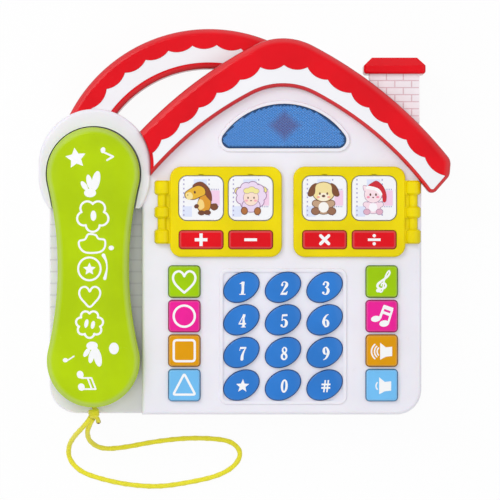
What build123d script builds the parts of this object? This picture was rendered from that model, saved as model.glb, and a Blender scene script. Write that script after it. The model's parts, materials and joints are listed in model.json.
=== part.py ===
from build123d import *
import os
from math import cos, pi, radians, sin, tan

# House-shaped toy telephone, lying on its back: X to the right, Y towards the roof crest, Z out of the face.
# Every plan position below is in the drawing frame; export moves its X and Y to the middle of the object.

os.makedirs("parts", exist_ok=True)

# ---------------------------------------------------------------- heights
surface_z = 0.0
foot_stand = 1.5  # how far the rubber feet stand proud of the back
split_z = 14.0  # parting plane of the two casings
face_z = 36.0  # front face of the house
cradle_z = 22.0  # top of the cradle plate
ring_z = 39.0  # rim of the ring round the handset
casing_wall = 2.2
back_z = surface_z + foot_stand
back_in_z = back_z + casing_wall
face_in_z = face_z - casing_wall

# ---------------------------------------------------------------- house
house_left = -61.5
house_width = 167.7
house_bottom = -115.7
house_corner_r = 15.0
house_right = house_left + house_width
house_axis = house_left + house_width / 2 + 0.75
face_edge_r = 2.2
back_edge_r = 3.0
groove_floor = 0.6

# ---------------------------------------------------------------- roof
roof_crest_y = 114.0
roof_inner_crest_y = 84.8
eave_out = 16.8  # the eave's reach past the house wall
eave_y = 36.8
heel_in = 0.8  # the end's lowest upright point, inwards of the eave's end
heel_y = 27.5
tip_y = 15.2
tip_in = 11.6  # the lower tip, inwards of the eave's end
roof_bow = 8.0
roof_inner_bow = 8.0
crest_r = 38.0
inner_crest_r = 40.0
eave_r = 7.0
heel_r = 6.0
tip_r = 3.6
roof_overhang = 3.4
roof_top = face_z + 7.0
roof_skirt_z = face_z - 6.0
roof_edge_r = 4.5
roof_shell = 2.5
roof_floor = 1.6
roof_lip = 2.0
roof_half_span = house_width / 2 + eave_out

# ---------------------------------------------------------------- scalloped trim
trim_depth = 1.4
trim_sunk = 0.3  # the white band lies this far under the red
trim_gap = 0.12
scallop_crest_y = 93.9
scallop_end_y = 27.6
scallop_end_in = 4.2
scallop_shift = 0.5  # the band's middle, right of the house axis
scallop_sag = 2.2
# Each cusp as shares of the run from the crest to the eave and of the fall to it.
scallop_cusps = [
    (0.0, 0.0),
    (0.147, 0.02),
    (0.273, 0.134),
    (0.418, 0.253),
    (0.529, 0.386),
    (0.644, 0.528),
    (0.761, 0.676),
    (0.876, 0.836),
    (1.0, 1.0),
]

# ---------------------------------------------------------------- carry handle
handle_x = -21.4
handle_y = 22.05
handle_r_out = 94.2
handle_r_in = 70.2
handle_lip = 3.6
handle_back_z = 9.0
handle_split_z = 19.0
handle_front_z = 29.5
handle_edge_r = 4.0
handle_wall = 2.2
handle_gap = 0.12
handle_cusp_r = 84.6
handle_first_cusp = 156.8
handle_cusp_step = 10.0
handle_cusps = 11
tang_r_in = 76.0
tang_r_out = 88.0
tang_z0 = 9.5
tang_depth = 6.0
tang_gap = 0.15

# ---------------------------------------------------------------- cradle and handset
cradle_left = -117.6
cradle_bottom = -115.4
cradle_corner_r = 17.0
ring_x = -89.9
ring_y = 27.45
ring_r = 33.6
ring_rise = 6.6
ring_end_y = 8.0
ring_edge_r = 2.0
handset_x = -90.5
lobe_r = 27.8
lobe_top_y = 28.65
lobe_pitch = 111.9
waist_half = 21.3
handset_top = 50.0
handset_split_z = 37.5
handset_waist_z = 30.0
handset_crown_r = 105.0
handset_edge_r = 4.5
handset_wall = 2.2
handset_pad_r = 24.0
handset_gap = 0.9
lobe_low_y = lobe_top_y - lobe_pitch
sound_hole_r = 1.3
cradle_grooves = 8
cradle_groove_y = -1.6
cradle_groove_pitch = 7.1
cradle_groove_width = 0.9

# ---------------------------------------------------------------- buttons
button_gap = 0.5
flange_width = 1.2
flange_apart = 0.6  # between the flanges of neighbouring buttons
flange_depth = 1.2
button_travel = 1.5
key_a = 11.2
key_b = 8.1
key_tilt = 30.0
key_crown_r = 42.0
key_rise = 3.4
key_edge_r = 0.7
key_pitch_x = 24.95
key_pitch_y = 19.55
key_top_y = -39.3
square_side = 18.6
square_r = 2.0
square_rise = 3.0
square_edge_r = 1.3
square_spread = 59.2
square_top_y = -35.9
square_pitch = 20.7
tile_side = 26.4
tile_r = 4.8
tile_rise = 4.0
tile_edge_r = 0.5
tile_y = 14.1
bar_width = 26.0
bar_height = 10.6
bar_rise = 4.4
bar_r = 1.8
bar_chamfer = 1.1
bar_y = -10.8
keypad_rim_width = 76.6
keypad_rim_top = -27.9
keypad_rim_bottom = -109.65
keypad_rim_r = 5.0
rim_line = 2.2
rim_height = 1.0
rim_edge_r = 0.6

# ---------------------------------------------------------------- window frames
window_shift = 2.75  # the pair of windows, right of the house axis
frame_width = 67.2
frame_low = -21.2
frame_high = 33.1
frame_r = 7.0
frame_thick = 3.0
frame_apart = 6.8
frame_edge_r = 1.2
tile_pitch = 29.7
notch_width = 2.8
notch_height = 0.8
frame_gap = 0.5
knuckle_width = 9.5
knuckle_r = 4.6
knuckle_axis_z = face_z + 0.6
knuckle_bevel = 1.0
knuckle_web = 1.2
barrel_r = 2.7
knuckles = [(16.2, 24.7), (2.25, 9.1), (-13.2, -4.65)]
peg_r = 1.3
peg_gap = 0.05

# ---------------------------------------------------------------- lens and light
lens_width = 81.8  # before its two corners are rounded
lens_low = 44.1
lens_high = 70.65
lens_corner_r = 5.0
lens_gap = 0.15
lens_top = face_z + 1.2
lens_bottom = face_in_z
lens_rim = 2.2
lens_rim_height = 1.5
lens_edge_r = 0.6
lens_flange = 1.5
led_y = 57.8
led_r = 5.0

# ---------------------------------------------------------------- chimney
chimney_in = 48.45  # its left side, inwards of the eave's end
chimney_width = 30.0
chimney_top = 88.95
chimney_back_z = 9.5
chimney_front_z = 29.5
chimney_wall = 2.4
cap_over = 3.6
cap_height = 9.9
cap_corner = 5.0
cap_edge_r = 2.0
cap_seat = 3.0
cap_gap = 0.1
brick_row = 4.25
brick_length = 10.1
mortar_width = 0.6
mortar_depth = 0.35

# ---------------------------------------------------------------- inside
board_top = 27.6
board_thick = 1.6
board_margin = 15.5
board_low = -107.0
board_high = 31.0
board_tab_half = 19.0
board_tab_high = 70.0
mat_thick = 0.8
dome_r = 3.6
dome_gap = 0.1
post_r = 2.75
post_gap = 0.4
board_screw_r = 1.2
pilot_gap = 0.05
board_posts = [(-43.1, -22.5), (-43.1, -102.0), (43.1, -22.5), (43.1, -102.0), (2.9, 8.0)]
boss_r = 3.6
boss_bore_r = 1.6
screw_r = 1.45
screw_pilot_r = 1.5
screw_head_r = 2.8
screw_head = 2.0
screw_well_r = 3.0
screw_seat_z = 9.0
screw_inset = 8.3
speaker_y = 5.0
speaker_r = 25.0
speaker_depth = 15.0
speaker_gap = 0.3
speaker_wall = 1.8
speaker_seat = 4.0
grille_hole_r = 1.3
grille_pitch = 4.4
bay_y = -72.0
bay_width = 50.0
bay_length = 58.0
bay_top = 19.6
bay_wall = 1.6
door_lap = 2.4
door_thick = 1.2
door_gap = 0.3
door_screw_in = 6.0
door_ear_r = 5.0
door_ribs = 5
door_rib_pitch = 2.0
cell_r = 7.25
cell_length = 50.5
cell_count = 3
cell_pitch = 15.2
contact_thick = 0.5
switch_x = -60.0  # from the house axis
switch_y = -45.0
switch_pocket = (20.0, 10.0)
switch_pocket_depth = 4.0
switch_wall = 1.5
switch_travel = 4.0
knob_size = (7.0, 8.0)
knob_sunk = 0.5
foot_r = 6.0
foot_recess = 0.8
plunger_r = 4.0
plunger_gap = 0.4
plunger_rise = 3.0
plunger_flange = 1.5
plunger_flange_depth = 1.2
plunger_post_r = 3.0

# ---------------------------------------------------------------- lanyard
cord_d = 3.2
knot_r = 3.6
cord_exit_z = 33.5
exit_hole_r = 2.2

# ---------------------------------------------------------------- export frame
left_edge = ring_x - ring_r
top_edge = handle_y + handle_r_out


def write(name, *solids):
    """Moves a piece, or a group of like pieces, to the object's own frame and writes it."""
    place = Pos(-origin_x, -origin_y, 0)
    placed = [place * solid for solid in solids]
    export_step(placed[0] if len(placed) == 1 else Compound(placed), f"parts/{name}.step")


def slab(face, low, high):
    """A flat outline raised from one height to another."""
    return Pos(0, 0, low) * extrude(face, amount=high - low)


def rounded(width, height, radius, x=0.0, y=0.0):
    """An upright rectangle with round corners."""
    return Pos(x, y) * RectangleRounded(width, height, radius)


def disc(x, y, radius):
    return Pos(x, y) * Circle(radius)


def rod(x, y, radius, low, high):
    """An upright round bar."""
    return slab(disc(x, y, radius), low, high)


def block(x0, x1, y0, y1, z0, z1):
    """A box between two opposite corners."""
    return Pos((x0 + x1) / 2, (y0 + y1) / 2, (z0 + z1) / 2) * Box(x1 - x0, y1 - y0, z1 - z0)


def edges_at(solid, height):
    """The edges that lie flat at one height."""
    return solid.edges().filter_by_position(Axis.Z, height - 0.001, height + 0.001)


def softened(solid, height, radius):
    """The same solid with its edges at one height rounded."""
    return fillet(edges_at(solid, height), radius)


# ================================================================ outlines
def roof_arc(crest_y, end, bow, side):
    """One slope's edge from the crest to its low end; side is 1 for the right slope, -1 for the left."""
    start = (house_axis, crest_y)
    stop = (house_axis + side * end[0], end[1])
    return SagittaArc(start, stop, side * bow)


def roof_band():
    """The inverted V of the roof, rounded at its crest and at its eaves."""
    eave = (roof_half_span, eave_y)
    tip = (roof_half_span - tip_in, tip_y)
    right_out = roof_arc(roof_crest_y, eave, roof_bow, 1)
    right_in = roof_arc(roof_inner_crest_y, tip, roof_inner_bow, 1)
    left_out = roof_arc(roof_crest_y, eave, roof_bow, -1)
    left_in = roof_arc(roof_inner_crest_y, tip, roof_inner_bow, -1)
    heel = roof_half_span - heel_in
    right_end = Polyline(right_out @ 1, (house_axis + heel, heel_y), right_in @ 1)
    left_end = Polyline(left_out @ 1, (house_axis - heel, heel_y), left_in @ 1)
    face = make_face([right_out, right_end, right_in, left_in, left_end, left_out])
    rounds = [(roof_crest_y, crest_r), (roof_inner_crest_y, inner_crest_r), (eave_y, eave_r)]
    rounds += [(heel_y, heel_r), (tip_y, tip_r)]
    for level, radius in rounds:
        corners = [v for v in face.vertices() if abs(v.Y - level) < 0.01]
        face = fillet(corners, radius)
    return face


def roof_right_edge():
    return roof_band().bounding_box().max.X


def under_roof():
    """Everything below the roof's outer edge, down to below the house."""
    eave = (roof_half_span, eave_y)
    right = roof_arc(roof_crest_y, eave, roof_bow, 1)
    left = roof_arc(roof_crest_y, eave, roof_bow, -1)
    floor = house_bottom - 40
    right_foot = (house_axis + roof_half_span, floor)
    left_foot = (house_axis - roof_half_span, floor)
    corners = [right @ 1, right_foot, left_foot, left @ 1]
    face = make_face([right, Polyline(*corners), left])
    crest = [v for v in face.vertices() if abs(v.Y - roof_crest_y) < 0.01]
    return fillet(crest, crest_r)


def house_outline():
    """The house casing in plan: straight walls, with the top set back under the roof's edge."""
    walls = Pos((house_left + house_right) / 2, house_bottom + 150) * Rectangle(house_width, 300)
    corner = [v for v in walls.vertices() if v.Y < house_bottom + 1 and v.X > house_right - 1]
    walls = fillet(corner, house_corner_r)
    return walls & offset(under_roof(), amount=-roof_overhang)


def ring_outline(grow=0.0):
    """The lobe round the handset's upper end."""
    centre = Pos(ring_x, ring_y + ring_rise / 2)
    return centre * SlotCenterToCenter(ring_rise, 2 * (ring_r + grow), rotation=90)


def cradle_plate():
    """The flat plate below the ring, running under the house's left wall."""
    width = house_left + 12 - cradle_left
    height = ring_y - cradle_bottom
    plate = Pos(cradle_left + width / 2, cradle_bottom + height / 2) * Rectangle(width, height)
    corner = [v for v in plate.vertices() if v.Y < cradle_bottom + 1 and v.X < cradle_left + 1]
    return fillet(corner, cradle_corner_r)


def cradle_outline():
    return cradle_plate() + ring_outline()


def casing_outline():
    return house_outline() + cradle_outline()


def handset_outline(grow=0.0):
    """Two round lobes joined by hollowed flanks; the flank arcs are tangent to both lobes."""
    half = lobe_pitch / 2
    middle = (lobe_top_y + lobe_low_y) / 2
    flank_r = (half**2 + waist_half**2 - lobe_r**2) / (2 * (lobe_r - waist_half))
    flank_x = waist_half + flank_r
    touch = lobe_r / (lobe_r + flank_r)
    touch_x = flank_x * touch
    touch_y = half * (1 - touch)
    spine = Pos(handset_x, middle) * Rectangle(2 * touch_x, 2 * touch_y)
    for side in (-1, 1):
        spine -= disc(handset_x + side * flank_x, middle, flank_r)
    lobes = disc(handset_x, lobe_top_y, lobe_r) + disc(handset_x, lobe_low_y, lobe_r)
    face = spine + lobes
    return offset(face, amount=grow) if grow else face


def lens_outline(grow=0.0):
    """The half-moon window: flat sill, arched top, round lower corners."""
    half = lens_width / 2
    x0 = house_axis + 0.6
    sill = Line((x0 - half, lens_low), (x0 + half, lens_low))
    arch = ThreePointArc((x0 + half, lens_low), (x0, lens_high), (x0 - half, lens_low))
    face = make_face([sill, arch])
    face = fillet(face.vertices(), lens_corner_r)
    return offset(face, amount=grow) if grow else face


# ================================================================ scallops
def lobed_line(cusps, sag):
    """Arcs hung between neighbouring cusps; a positive sag bulges to the right of the way along."""
    return [SagittaArc(a, b, sag) for a, b in zip(cusps, cusps[1:])]


def roof_cusps(side):
    """The points of the scalloped edge, from the crest to the eave."""
    middle = house_axis + scallop_shift
    run = roof_half_span - scallop_end_in
    fall = scallop_crest_y - scallop_end_y
    return [Vector(middle + side * a * run, scallop_crest_y - b * fall) for a, b in scallop_cusps]


def roof_channel():
    """The bed of the roof's white band, between the scallops and the inner lip."""
    right = roof_cusps(1)
    left = roof_cusps(-1)
    lobes = lobed_line(right, -scallop_sag) + lobed_line(left, scallop_sag)
    low = house_bottom
    ends = Polyline(right[-1], (right[-1].X, low), (left[-1].X, low), left[-1])
    inner = offset(roof_band(), amount=-roof_lip)
    return inner & make_face(lobes + [ends])


def polar(radius, angle):
    """A point of the carry handle's arch."""
    return (handle_x + radius * cos(radians(angle)), handle_y + radius * sin(radians(angle)))


def handle_channel():
    """The bed of the handle's white band."""
    angles = [handle_first_cusp - handle_cusp_step * i for i in range(handle_cusps)]
    cusps = [polar(handle_cusp_r, a) for a in angles]
    lobes = lobed_line(cusps, -scallop_sag)
    centre = (handle_x, handle_y)
    fan = make_face(lobes + [Polyline(cusps[-1], centre, cusps[0])])
    return fan - disc(handle_x, handle_y, handle_r_in + handle_lip)


# ================================================================ places of the buttons
def key_places():
    """Names and centres of the twelve oval keys, row by row."""
    names = ["1", "2", "3", "4", "5", "6", "7", "8", "9", "star", "0", "hash"]
    places = {}
    for i, name in enumerate(names):
        x = house_axis + (i % 3 - 1) * key_pitch_x
        places["key_" + name] = (x, key_top_y - (i // 3) * key_pitch_y)
    return places


def square_places():
    left = ["heart", "circle", "square", "triangle"]
    right = ["clef", "notes", "loud", "soft"]
    places = {}
    for side, names in ((-1, left), (1, right)):
        for i, name in enumerate(names):
            places[name + "_button"] = (house_axis + side * square_spread, square_top_y - i * square_pitch)
    return places


def frame_centre(side):
    return house_axis + window_shift + side * (frame_width + frame_apart) / 2


def tile_places():
    names = ["horse", "sheep", "dog", "cat"]
    xs = [frame_centre(s) + t * tile_pitch / 2 for s in (-1, 1) for t in (-1, 1)]
    return {name + "_button": (x, tile_y) for name, x in zip(names, xs)}


def bar_places():
    names = ["plus", "minus", "times", "divide"]
    xs = [x for x, _ in tile_places().values()]
    return {name + "_button": (x, bar_y) for name, x in zip(names, xs)}


def key_face(x, y, grow=0.0):
    return Pos(x, y) * Rot(0, 0, key_tilt) * Ellipse(key_a + grow, key_b + grow)


def square_face(x, y, grow=0.0):
    return rounded(square_side + 2 * grow, square_side + 2 * grow, square_r + grow, x, y)


def tile_face(x, y, grow=0.0):
    return rounded(tile_side + 2 * grow, tile_side + 2 * grow, tile_r + grow, x, y)


def bar_face(x, y, grow=0.0):
    return rounded(bar_width + 2 * grow, bar_height + 2 * grow, bar_r + grow, x, y)


def flange_face(face, x, y):
    """A button's flange, kept short of the neighbouring buttons' flanges."""
    pitches = {
        key_face: (key_pitch_x, key_pitch_y),
        square_face: (2 * square_side, square_pitch),
        tile_face: (tile_pitch, 2 * tile_side),
        bar_face: (tile_pitch, 2 * bar_height),
    }
    across, up = pitches[face]
    room = Pos(x, y) * Rectangle(across - flange_apart, up - flange_apart)
    return face(x, y, flange_width) & room


def all_buttons():
    """Every button as its name, outline function and centre."""
    kinds = ((key_face, key_places()), (square_face, square_places()), (tile_face, tile_places()))
    kinds += ((bar_face, bar_places()),)
    return [(name, face, x, y) for face, places in kinds for name, (x, y) in places.items()]


def casing_screw_places():
    """The six screws that close the house, and whether each is under the low cradle plate."""
    low = house_bottom + screw_inset
    places = [(house_left + screw_inset, low, False), (house_right - screw_inset, low, False)]
    places += [(house_left + screw_inset, -2.0, False), (house_right - screw_inset + 0.8, 0.0, False)]
    places += [(house_axis, roof_crest_y - 22.4, False), (cradle_left + 9.0, -88.0, True)]
    return places


def foot_places():
    inset = foot_r + 8.0
    low = house_bottom + inset
    places = [(house_right - inset, low), (house_right - inset, 24.0), (house_left + 22.0, low)]
    places += [(cradle_left + inset + 4, low + 6), (cradle_left + inset + 3, 34.0)]
    return places + [(house_axis, roof_crest_y - 39.4)]


# ================================================================ front casing
def handset_pocket():
    """The space the handset needs in the ring, with its clearance."""
    return slab(handset_outline(handset_gap), cradle_z, ring_z + 1)


def ring_wall():
    """The raised ring, cut off below so that the handset's waist lies open."""
    wall = softened(slab(ring_outline(), cradle_z - casing_wall, ring_z), ring_z, ring_edge_r)
    wall -= handset_pocket()
    return wall - block(ring_x - 60, house_left, ring_end_y - 60, ring_end_y, cradle_z, ring_z + 1)


def cradle_ribs():
    """The shallow grooves across the plate at the handset's waist."""
    cuts = []
    for i in range(cradle_grooves):
        y = cradle_groove_y - i * cradle_groove_pitch
        half = cradle_groove_width / 2
        floor = cradle_z - groove_floor
        cuts.append(block(cradle_left - 1, house_left, y - half, y + half, floor, cradle_z + 1))
    return cuts


def outer_shell(low, high, outline, edge_r):
    return softened(slab(outline, low, high), high if high > split_z else low, edge_r)


def casing_bosses():
    """Solid posts for the casing screws, with pilot holes."""
    bosses = []
    for x, y, low_roof in casing_screw_places():
        top = (cradle_z if low_roof else face_z) - casing_wall
        post = rod(x, y, boss_r, split_z, top) - rod(x, y, screw_pilot_r, split_z, screw_tip(low_roof) + 1)
        bosses.append(post)
    return bosses


def screw_tip(low_roof):
    return cradle_z - casing_wall - 1.5 if low_roof else split_z + 10.0


def board_post_places():
    return [(house_axis + x, y) for x, y in board_posts]


def board_bosses():
    """Short posts under the face that the circuit board is screwed to."""
    pilot = board_screw_r + pilot_gap
    bosses = []
    for x, y in board_post_places():
        bosses.append(rod(x, y, post_r, board_top, face_in_z) - rod(x, y, pilot, board_top, board_top + 5))
    return bosses


def front_casing():
    house = outer_shell(split_z, face_z, house_outline(), face_edge_r)
    cradle = outer_shell(split_z, cradle_z, cradle_outline(), 1.0)
    body = house + cradle
    body -= slab(offset(casing_outline(), amount=-casing_wall), split_z, cradle_z - casing_wall)
    body -= slab(offset(house_outline(), amount=-casing_wall), split_z, face_in_z)
    body += ring_wall() - slab(house_outline(), split_z, face_in_z)
    body -= handset_pocket()
    rim_x = house_axis
    rim_y = (keypad_rim_top + keypad_rim_bottom) / 2
    rim_h = keypad_rim_top - keypad_rim_bottom
    rim = rounded(keypad_rim_width, rim_h, keypad_rim_r, rim_x, rim_y)
    hole = offset(rim, amount=-rim_line)
    body += softened(slab(rim, face_z - 0.5, face_z + rim_height), face_z + rim_height, rim_edge_r)
    body -= slab(hole, face_z, face_z + 2)
    rim_top = face_z + lens_rim_height
    body += softened(slab(lens_outline(lens_rim), face_z - 0.5, rim_top), rim_top, lens_edge_r)
    body -= slab(lens_outline(lens_gap), face_in_z - 1, face_z + 3)
    body = body + casing_bosses() + board_bosses()
    holes = [slab(face(x, y, button_gap), face_in_z - 1, face_z + 2) for _, face, x, y in all_buttons()]
    pegs = peg_places(-1) + peg_places(1)
    holes += [rod(x, y, peg_r + peg_gap, face_in_z - 1, face_z + 1) for x, y in pegs]
    under = cradle_z - casing_wall - 1
    holes.append(rod(handset_x, plunger_y(), plunger_r + plunger_gap, under, cradle_z + 1))
    return body - (holes + cradle_ribs())


# ================================================================ back casing
def plunger_y():
    return lobe_top_y - 14.0


def tang_band(grow=0.0):
    """The tongue of the handle, as an arch."""
    ring = disc(handle_x, handle_y, tang_r_out + grow) - disc(handle_x, handle_y, tang_r_in - grow)
    half = Pos(handle_x - 5, handle_y + 80) * Rectangle(2 * handle_r_out + 40, 160)
    return ring & half


def back_casing():
    body = outer_shell(back_z, split_z, casing_outline(), back_edge_r)
    body -= slab(offset(casing_outline(), amount=-casing_wall), back_in_z, split_z)
    added = [rod(x, y, boss_r, back_in_z, split_z) for x, y, _ in casing_screw_places()]
    seat = disc(house_axis, speaker_y, speaker_r + speaker_gap + speaker_wall)
    seat -= disc(house_axis, speaker_y, speaker_r + speaker_gap)
    added += [slab(seat, back_in_z, back_in_z + speaker_seat), battery_box(), switch_box()]
    added.append(rod(handset_x, plunger_y(), plunger_post_r, back_in_z, plunger_flange_z()))
    body = body + added
    cuts = [rod(x, y, boss_bore_r, back_z, split_z) for x, y, _ in casing_screw_places()]
    cuts += [rod(x, y, screw_well_r, back_z, screw_seat_z) for x, y, _ in casing_screw_places()]
    cuts += [rod(x, y, grille_hole_r, back_z, back_in_z) for x, y in grille_places()]
    cuts += [rod(x, y, foot_r + 0.1, back_z, back_z + foot_recess) for x, y in foot_places()]
    cuts += [battery_cuts(), switch_cuts(), slab(tang_band(tang_gap), tang_z0 - tang_gap, split_z)]
    return body - cuts


def grille_places():
    """Sound holes in rings about the speaker's middle."""
    places = [(house_axis, speaker_y)]
    for ring in range(1, 5):
        count = 6 * ring
        for i in range(count):
            a = radians(360 * i / count)
            reach = ring * grille_pitch
            places.append((house_axis + reach * cos(a), speaker_y + reach * sin(a)))
    return places


def bay(grow, low, high):
    face = Pos(house_axis, bay_y) * Rectangle(bay_width + 2 * grow, bay_length + 2 * grow)
    return slab(face, low, high)


def door_screw_place():
    return (house_axis, bay_y + bay_length / 2 + door_screw_in)


def door_face(grow=0.0):
    """The door's outer plate with the ear that takes its screw."""
    width = bay_width + 2 * door_lap + 2 * grow
    height = bay_length + 2 * door_lap + 2 * grow
    plate = rounded(width, height, 2.0 + grow, house_axis, bay_y)
    x, y = door_screw_place()
    return plate + disc(x, y, door_ear_r + grow) + Pos(x, y - 4) * Rectangle(2 * (door_ear_r + grow), 8)


def battery_box():
    x, y = door_screw_place()
    return bay(bay_wall, back_in_z, bay_top + bay_wall) + rod(x, y, boss_r, back_in_z, screw_seat_z + 3)


def battery_cuts():
    x, y = door_screw_place()
    cut = bay(0, back_z, bay_top) + slab(door_face(door_gap), back_z, back_z + door_thick)
    return cut + rod(x, y, screw_pilot_r, back_z, screw_seat_z)


def switch_centre():
    return (house_axis + switch_x, switch_y)


def switch_box():
    x, y = switch_centre()
    w, h = switch_pocket
    face = Pos(x, y) * Rectangle(w + 2 * switch_wall, h + 2 * switch_wall)
    return slab(face, back_in_z, back_z + switch_pocket_depth + switch_wall)


def switch_cuts():
    x, y = switch_centre()
    w, h = switch_pocket
    pocket = slab(Pos(x, y) * Rectangle(w, h), back_z, back_z + switch_pocket_depth)
    slot = Pos(x, y) * Rectangle(2 * switch_travel + 4.0, 3.6)
    return pocket + slab(slot, back_z, back_z + switch_pocket_depth + switch_wall)


def switch_knob():
    x, y = switch_centre()
    top = back_z + switch_pocket_depth
    knob = slab(Pos(x, y) * Rectangle(*knob_size), back_z + knob_sunk, top)
    for i in (-1, 0, 1):
        knob -= block(x + 2 * i - 0.4, x + 2 * i + 0.4, y - 5, y + 5, back_z, back_z + knob_sunk + 0.6)
    return knob + slab(Pos(x, y) * Rectangle(3.0, 3.0), top, top + switch_wall + 2.0)


def power_switch():
    """The switch body on top of the knob's pocket, hollow below for the knob's stem."""
    x, y = switch_centre()
    low = back_z + switch_pocket_depth + switch_wall
    case = slab(Pos(x, y) * Rectangle(18.0, 8.0), low, low + 6.0)
    return case - slab(Pos(x, y) * Rectangle(2 * switch_travel + 4.0, 4.0), low, low + 3.0)


def battery_door():
    x, y = door_screw_place()
    door = slab(door_face(), back_z, back_z + door_thick) + bay(-door_gap, back_z + door_thick, back_in_z)
    door -= rod(x, y, boss_bore_r, back_z, back_z + door_thick)
    for i in range(door_ribs):
        y = bay_y - 20.0 - door_rib_pitch * i
        door -= block(house_axis - 12, house_axis + 12, y - 0.4, y + 0.4, back_z, back_z + 0.5)
    return door


def batteries():
    """Three cells side by side, the middle one turned round."""
    cells = []
    z = back_in_z + 0.3 + cell_r
    for i in range(cell_count):
        x = house_axis + (i - 1) * cell_pitch
        turn = 180 if i % 2 else 0
        can = Cylinder(cell_r, cell_length - 1.5) + Pos(0, 0, cell_length / 2) * Cylinder(2.75, 1.5)
        cells.append(Pos(x, bay_y, z) * Rot(0, 0, turn) * Rot(90, 0, 0) * can)
    return cells


def battery_contacts():
    """Sprung plates at both ends of the battery box."""
    plates = []
    half = bay_length / 2
    z = back_in_z + 0.3 + cell_r
    for side in (-1, 1):
        y = bay_y + side * (half - contact_thick / 2)
        plate = Pos(house_axis, y, z) * Box(bay_width - 4, contact_thick, 11.0)
        for i in range(cell_count):
            x = house_axis + (i - 1) * cell_pitch
            coil = Pos(x, y - side * 1.2, z) * Rot(90, 0, 0) * Cylinder(2.4, 2.4)
            plate += coil
        plates.append(plate)
    return plates


# ================================================================ fastenings, feet, speaker, board
def screw(x, y, seat, tip, radius, head_r, head):
    """A pan-head screw driven upwards, with a cross recess."""
    body = rod(x, y, head_r, seat - head, seat) + rod(x, y, radius, seat, tip)
    for w, h in ((2.6, 0.7), (0.7, 2.6)):
        body -= slab(Pos(x, y) * Rectangle(w, h), seat - head, seat - head + 0.9)
    return body


def casing_screws():
    return [
        screw(x, y, screw_seat_z, screw_tip(low), screw_r, screw_head_r, screw_head)
        for x, y, low in casing_screw_places()
    ]


def board_screws():
    low = board_top - board_thick
    return [screw(x, y, low, board_top + 4.5, board_screw_r, 2.2, 1.4) for x, y in board_post_places()]


def rubber_feet():
    feet = [rod(x, y, foot_r, surface_z, back_z + foot_recess) for x, y in foot_places()]
    return [softened(foot, surface_z, 0.5) for foot in feet]


def speaker():
    """A paper-cone speaker lying face down on the sound holes."""
    profile = Polyline(
        (0, back_in_z + 3.0),
        (8.0, back_in_z + 3.0),
        (speaker_r - 4, back_in_z + 0.0),
        (speaker_r, back_in_z + 0.0),
        (speaker_r, back_in_z + 1.8),
        (14.0, back_in_z + 8.0),
        (14.0, back_in_z + speaker_depth),
        (0, back_in_z + speaker_depth),
        close=True,
    )
    half = make_face(Plane.XZ * profile)
    return Pos(house_axis, speaker_y, 0) * revolve(half, Axis.Z)


def board_outline():
    low_x = house_left + board_margin
    high_x = house_right - board_margin
    height = board_high - board_low
    main = Pos((low_x + high_x) / 2, board_low + height / 2) * Rectangle(high_x - low_x, height)
    tab_height = board_tab_high - board_high
    tab = Pos(house_axis, board_high + tab_height / 2) * Rectangle(2 * board_tab_half, tab_height + 2)
    return main, tab


def circuit_board():
    main, tab = board_outline()
    board = slab(main + tab, board_top - board_thick, board_top)
    for x, y in board_post_places():
        board -= rod(x, y, board_screw_r + 0.1, board_top - board_thick - 1, board_top + 1)
    chip = rod(house_axis - 58.0, 5.0, 7.0, board_top - board_thick - 1.6, board_top - board_thick)
    return board + chip


def contact_mat():
    """The silicone sheet on the board, with a dome under every button at its pressed height."""
    main, _ = board_outline()
    sheet = slab(main, board_top, board_top + mat_thick)
    dome_top = face_in_z - flange_depth - button_travel - dome_gap
    for _, _, x, y in all_buttons():
        sheet += rod(x, y, dome_r, board_top, dome_top)
    for x, y in board_post_places():
        sheet -= rod(x, y, post_r + post_gap, board_top - 1, board_top + 4)
    return sheet


def window_led():
    """The lamp behind the lens: a square holder stood on its corner, with a domed bulb."""
    holder = Pos(house_axis + 0.9, led_y) * Rot(0, 0, 45) * Rectangle(2 * led_r, 2 * led_r)
    base = slab(holder, board_top, board_top + 2.0)
    bulb_top = lens_bottom - 1.6
    bulb = softened(rod(house_axis + 0.9, led_y, led_r - 1, board_top + 2.0, bulb_top), bulb_top, 2.0)
    return base + bulb


# ================================================================ buttons
def button(face, x, y, rise, finish):
    """A cap through the face, and the flange under the face that keeps it in."""
    cap = finish(slab(face(x, y), face_in_z, face_z + rise), x, y, face_z + rise)
    return cap + slab(flange_face(face, x, y), face_in_z - flange_depth, face_in_z)


def key_finish(cap, x, y, top):
    crown = Pos(x, y, top - key_crown_r) * Sphere(key_crown_r)
    cap = cap & crown
    rim = [e for e in cap.edges() if e.center().Z > face_z + 0.5]
    return fillet(rim, key_edge_r)


def square_finish(cap, x, y, top):
    return softened(cap, top, square_edge_r)


def tile_finish(cap, x, y, top):
    return softened(cap, top, tile_edge_r)


def bar_finish(cap, x, y, top):
    return chamfer(edges_at(cap, top), bar_chamfer)


def write_buttons():
    finishes = {
        key_face: (key_rise, key_finish),
        square_face: (square_rise, square_finish),
        tile_face: (tile_rise, tile_finish),
        bar_face: (bar_rise, bar_finish),
    }
    for name, face, x, y in all_buttons():
        rise, finish = finishes[face]
        write(name, button(face, x, y, rise, finish))


# ================================================================ window frames
def peg_places(side):
    x = frame_centre(side)
    half = frame_width / 2
    return [(x - half + 2.3, -2.3), (x + half - 2.3, -2.3), (x, -2.3)]


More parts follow.
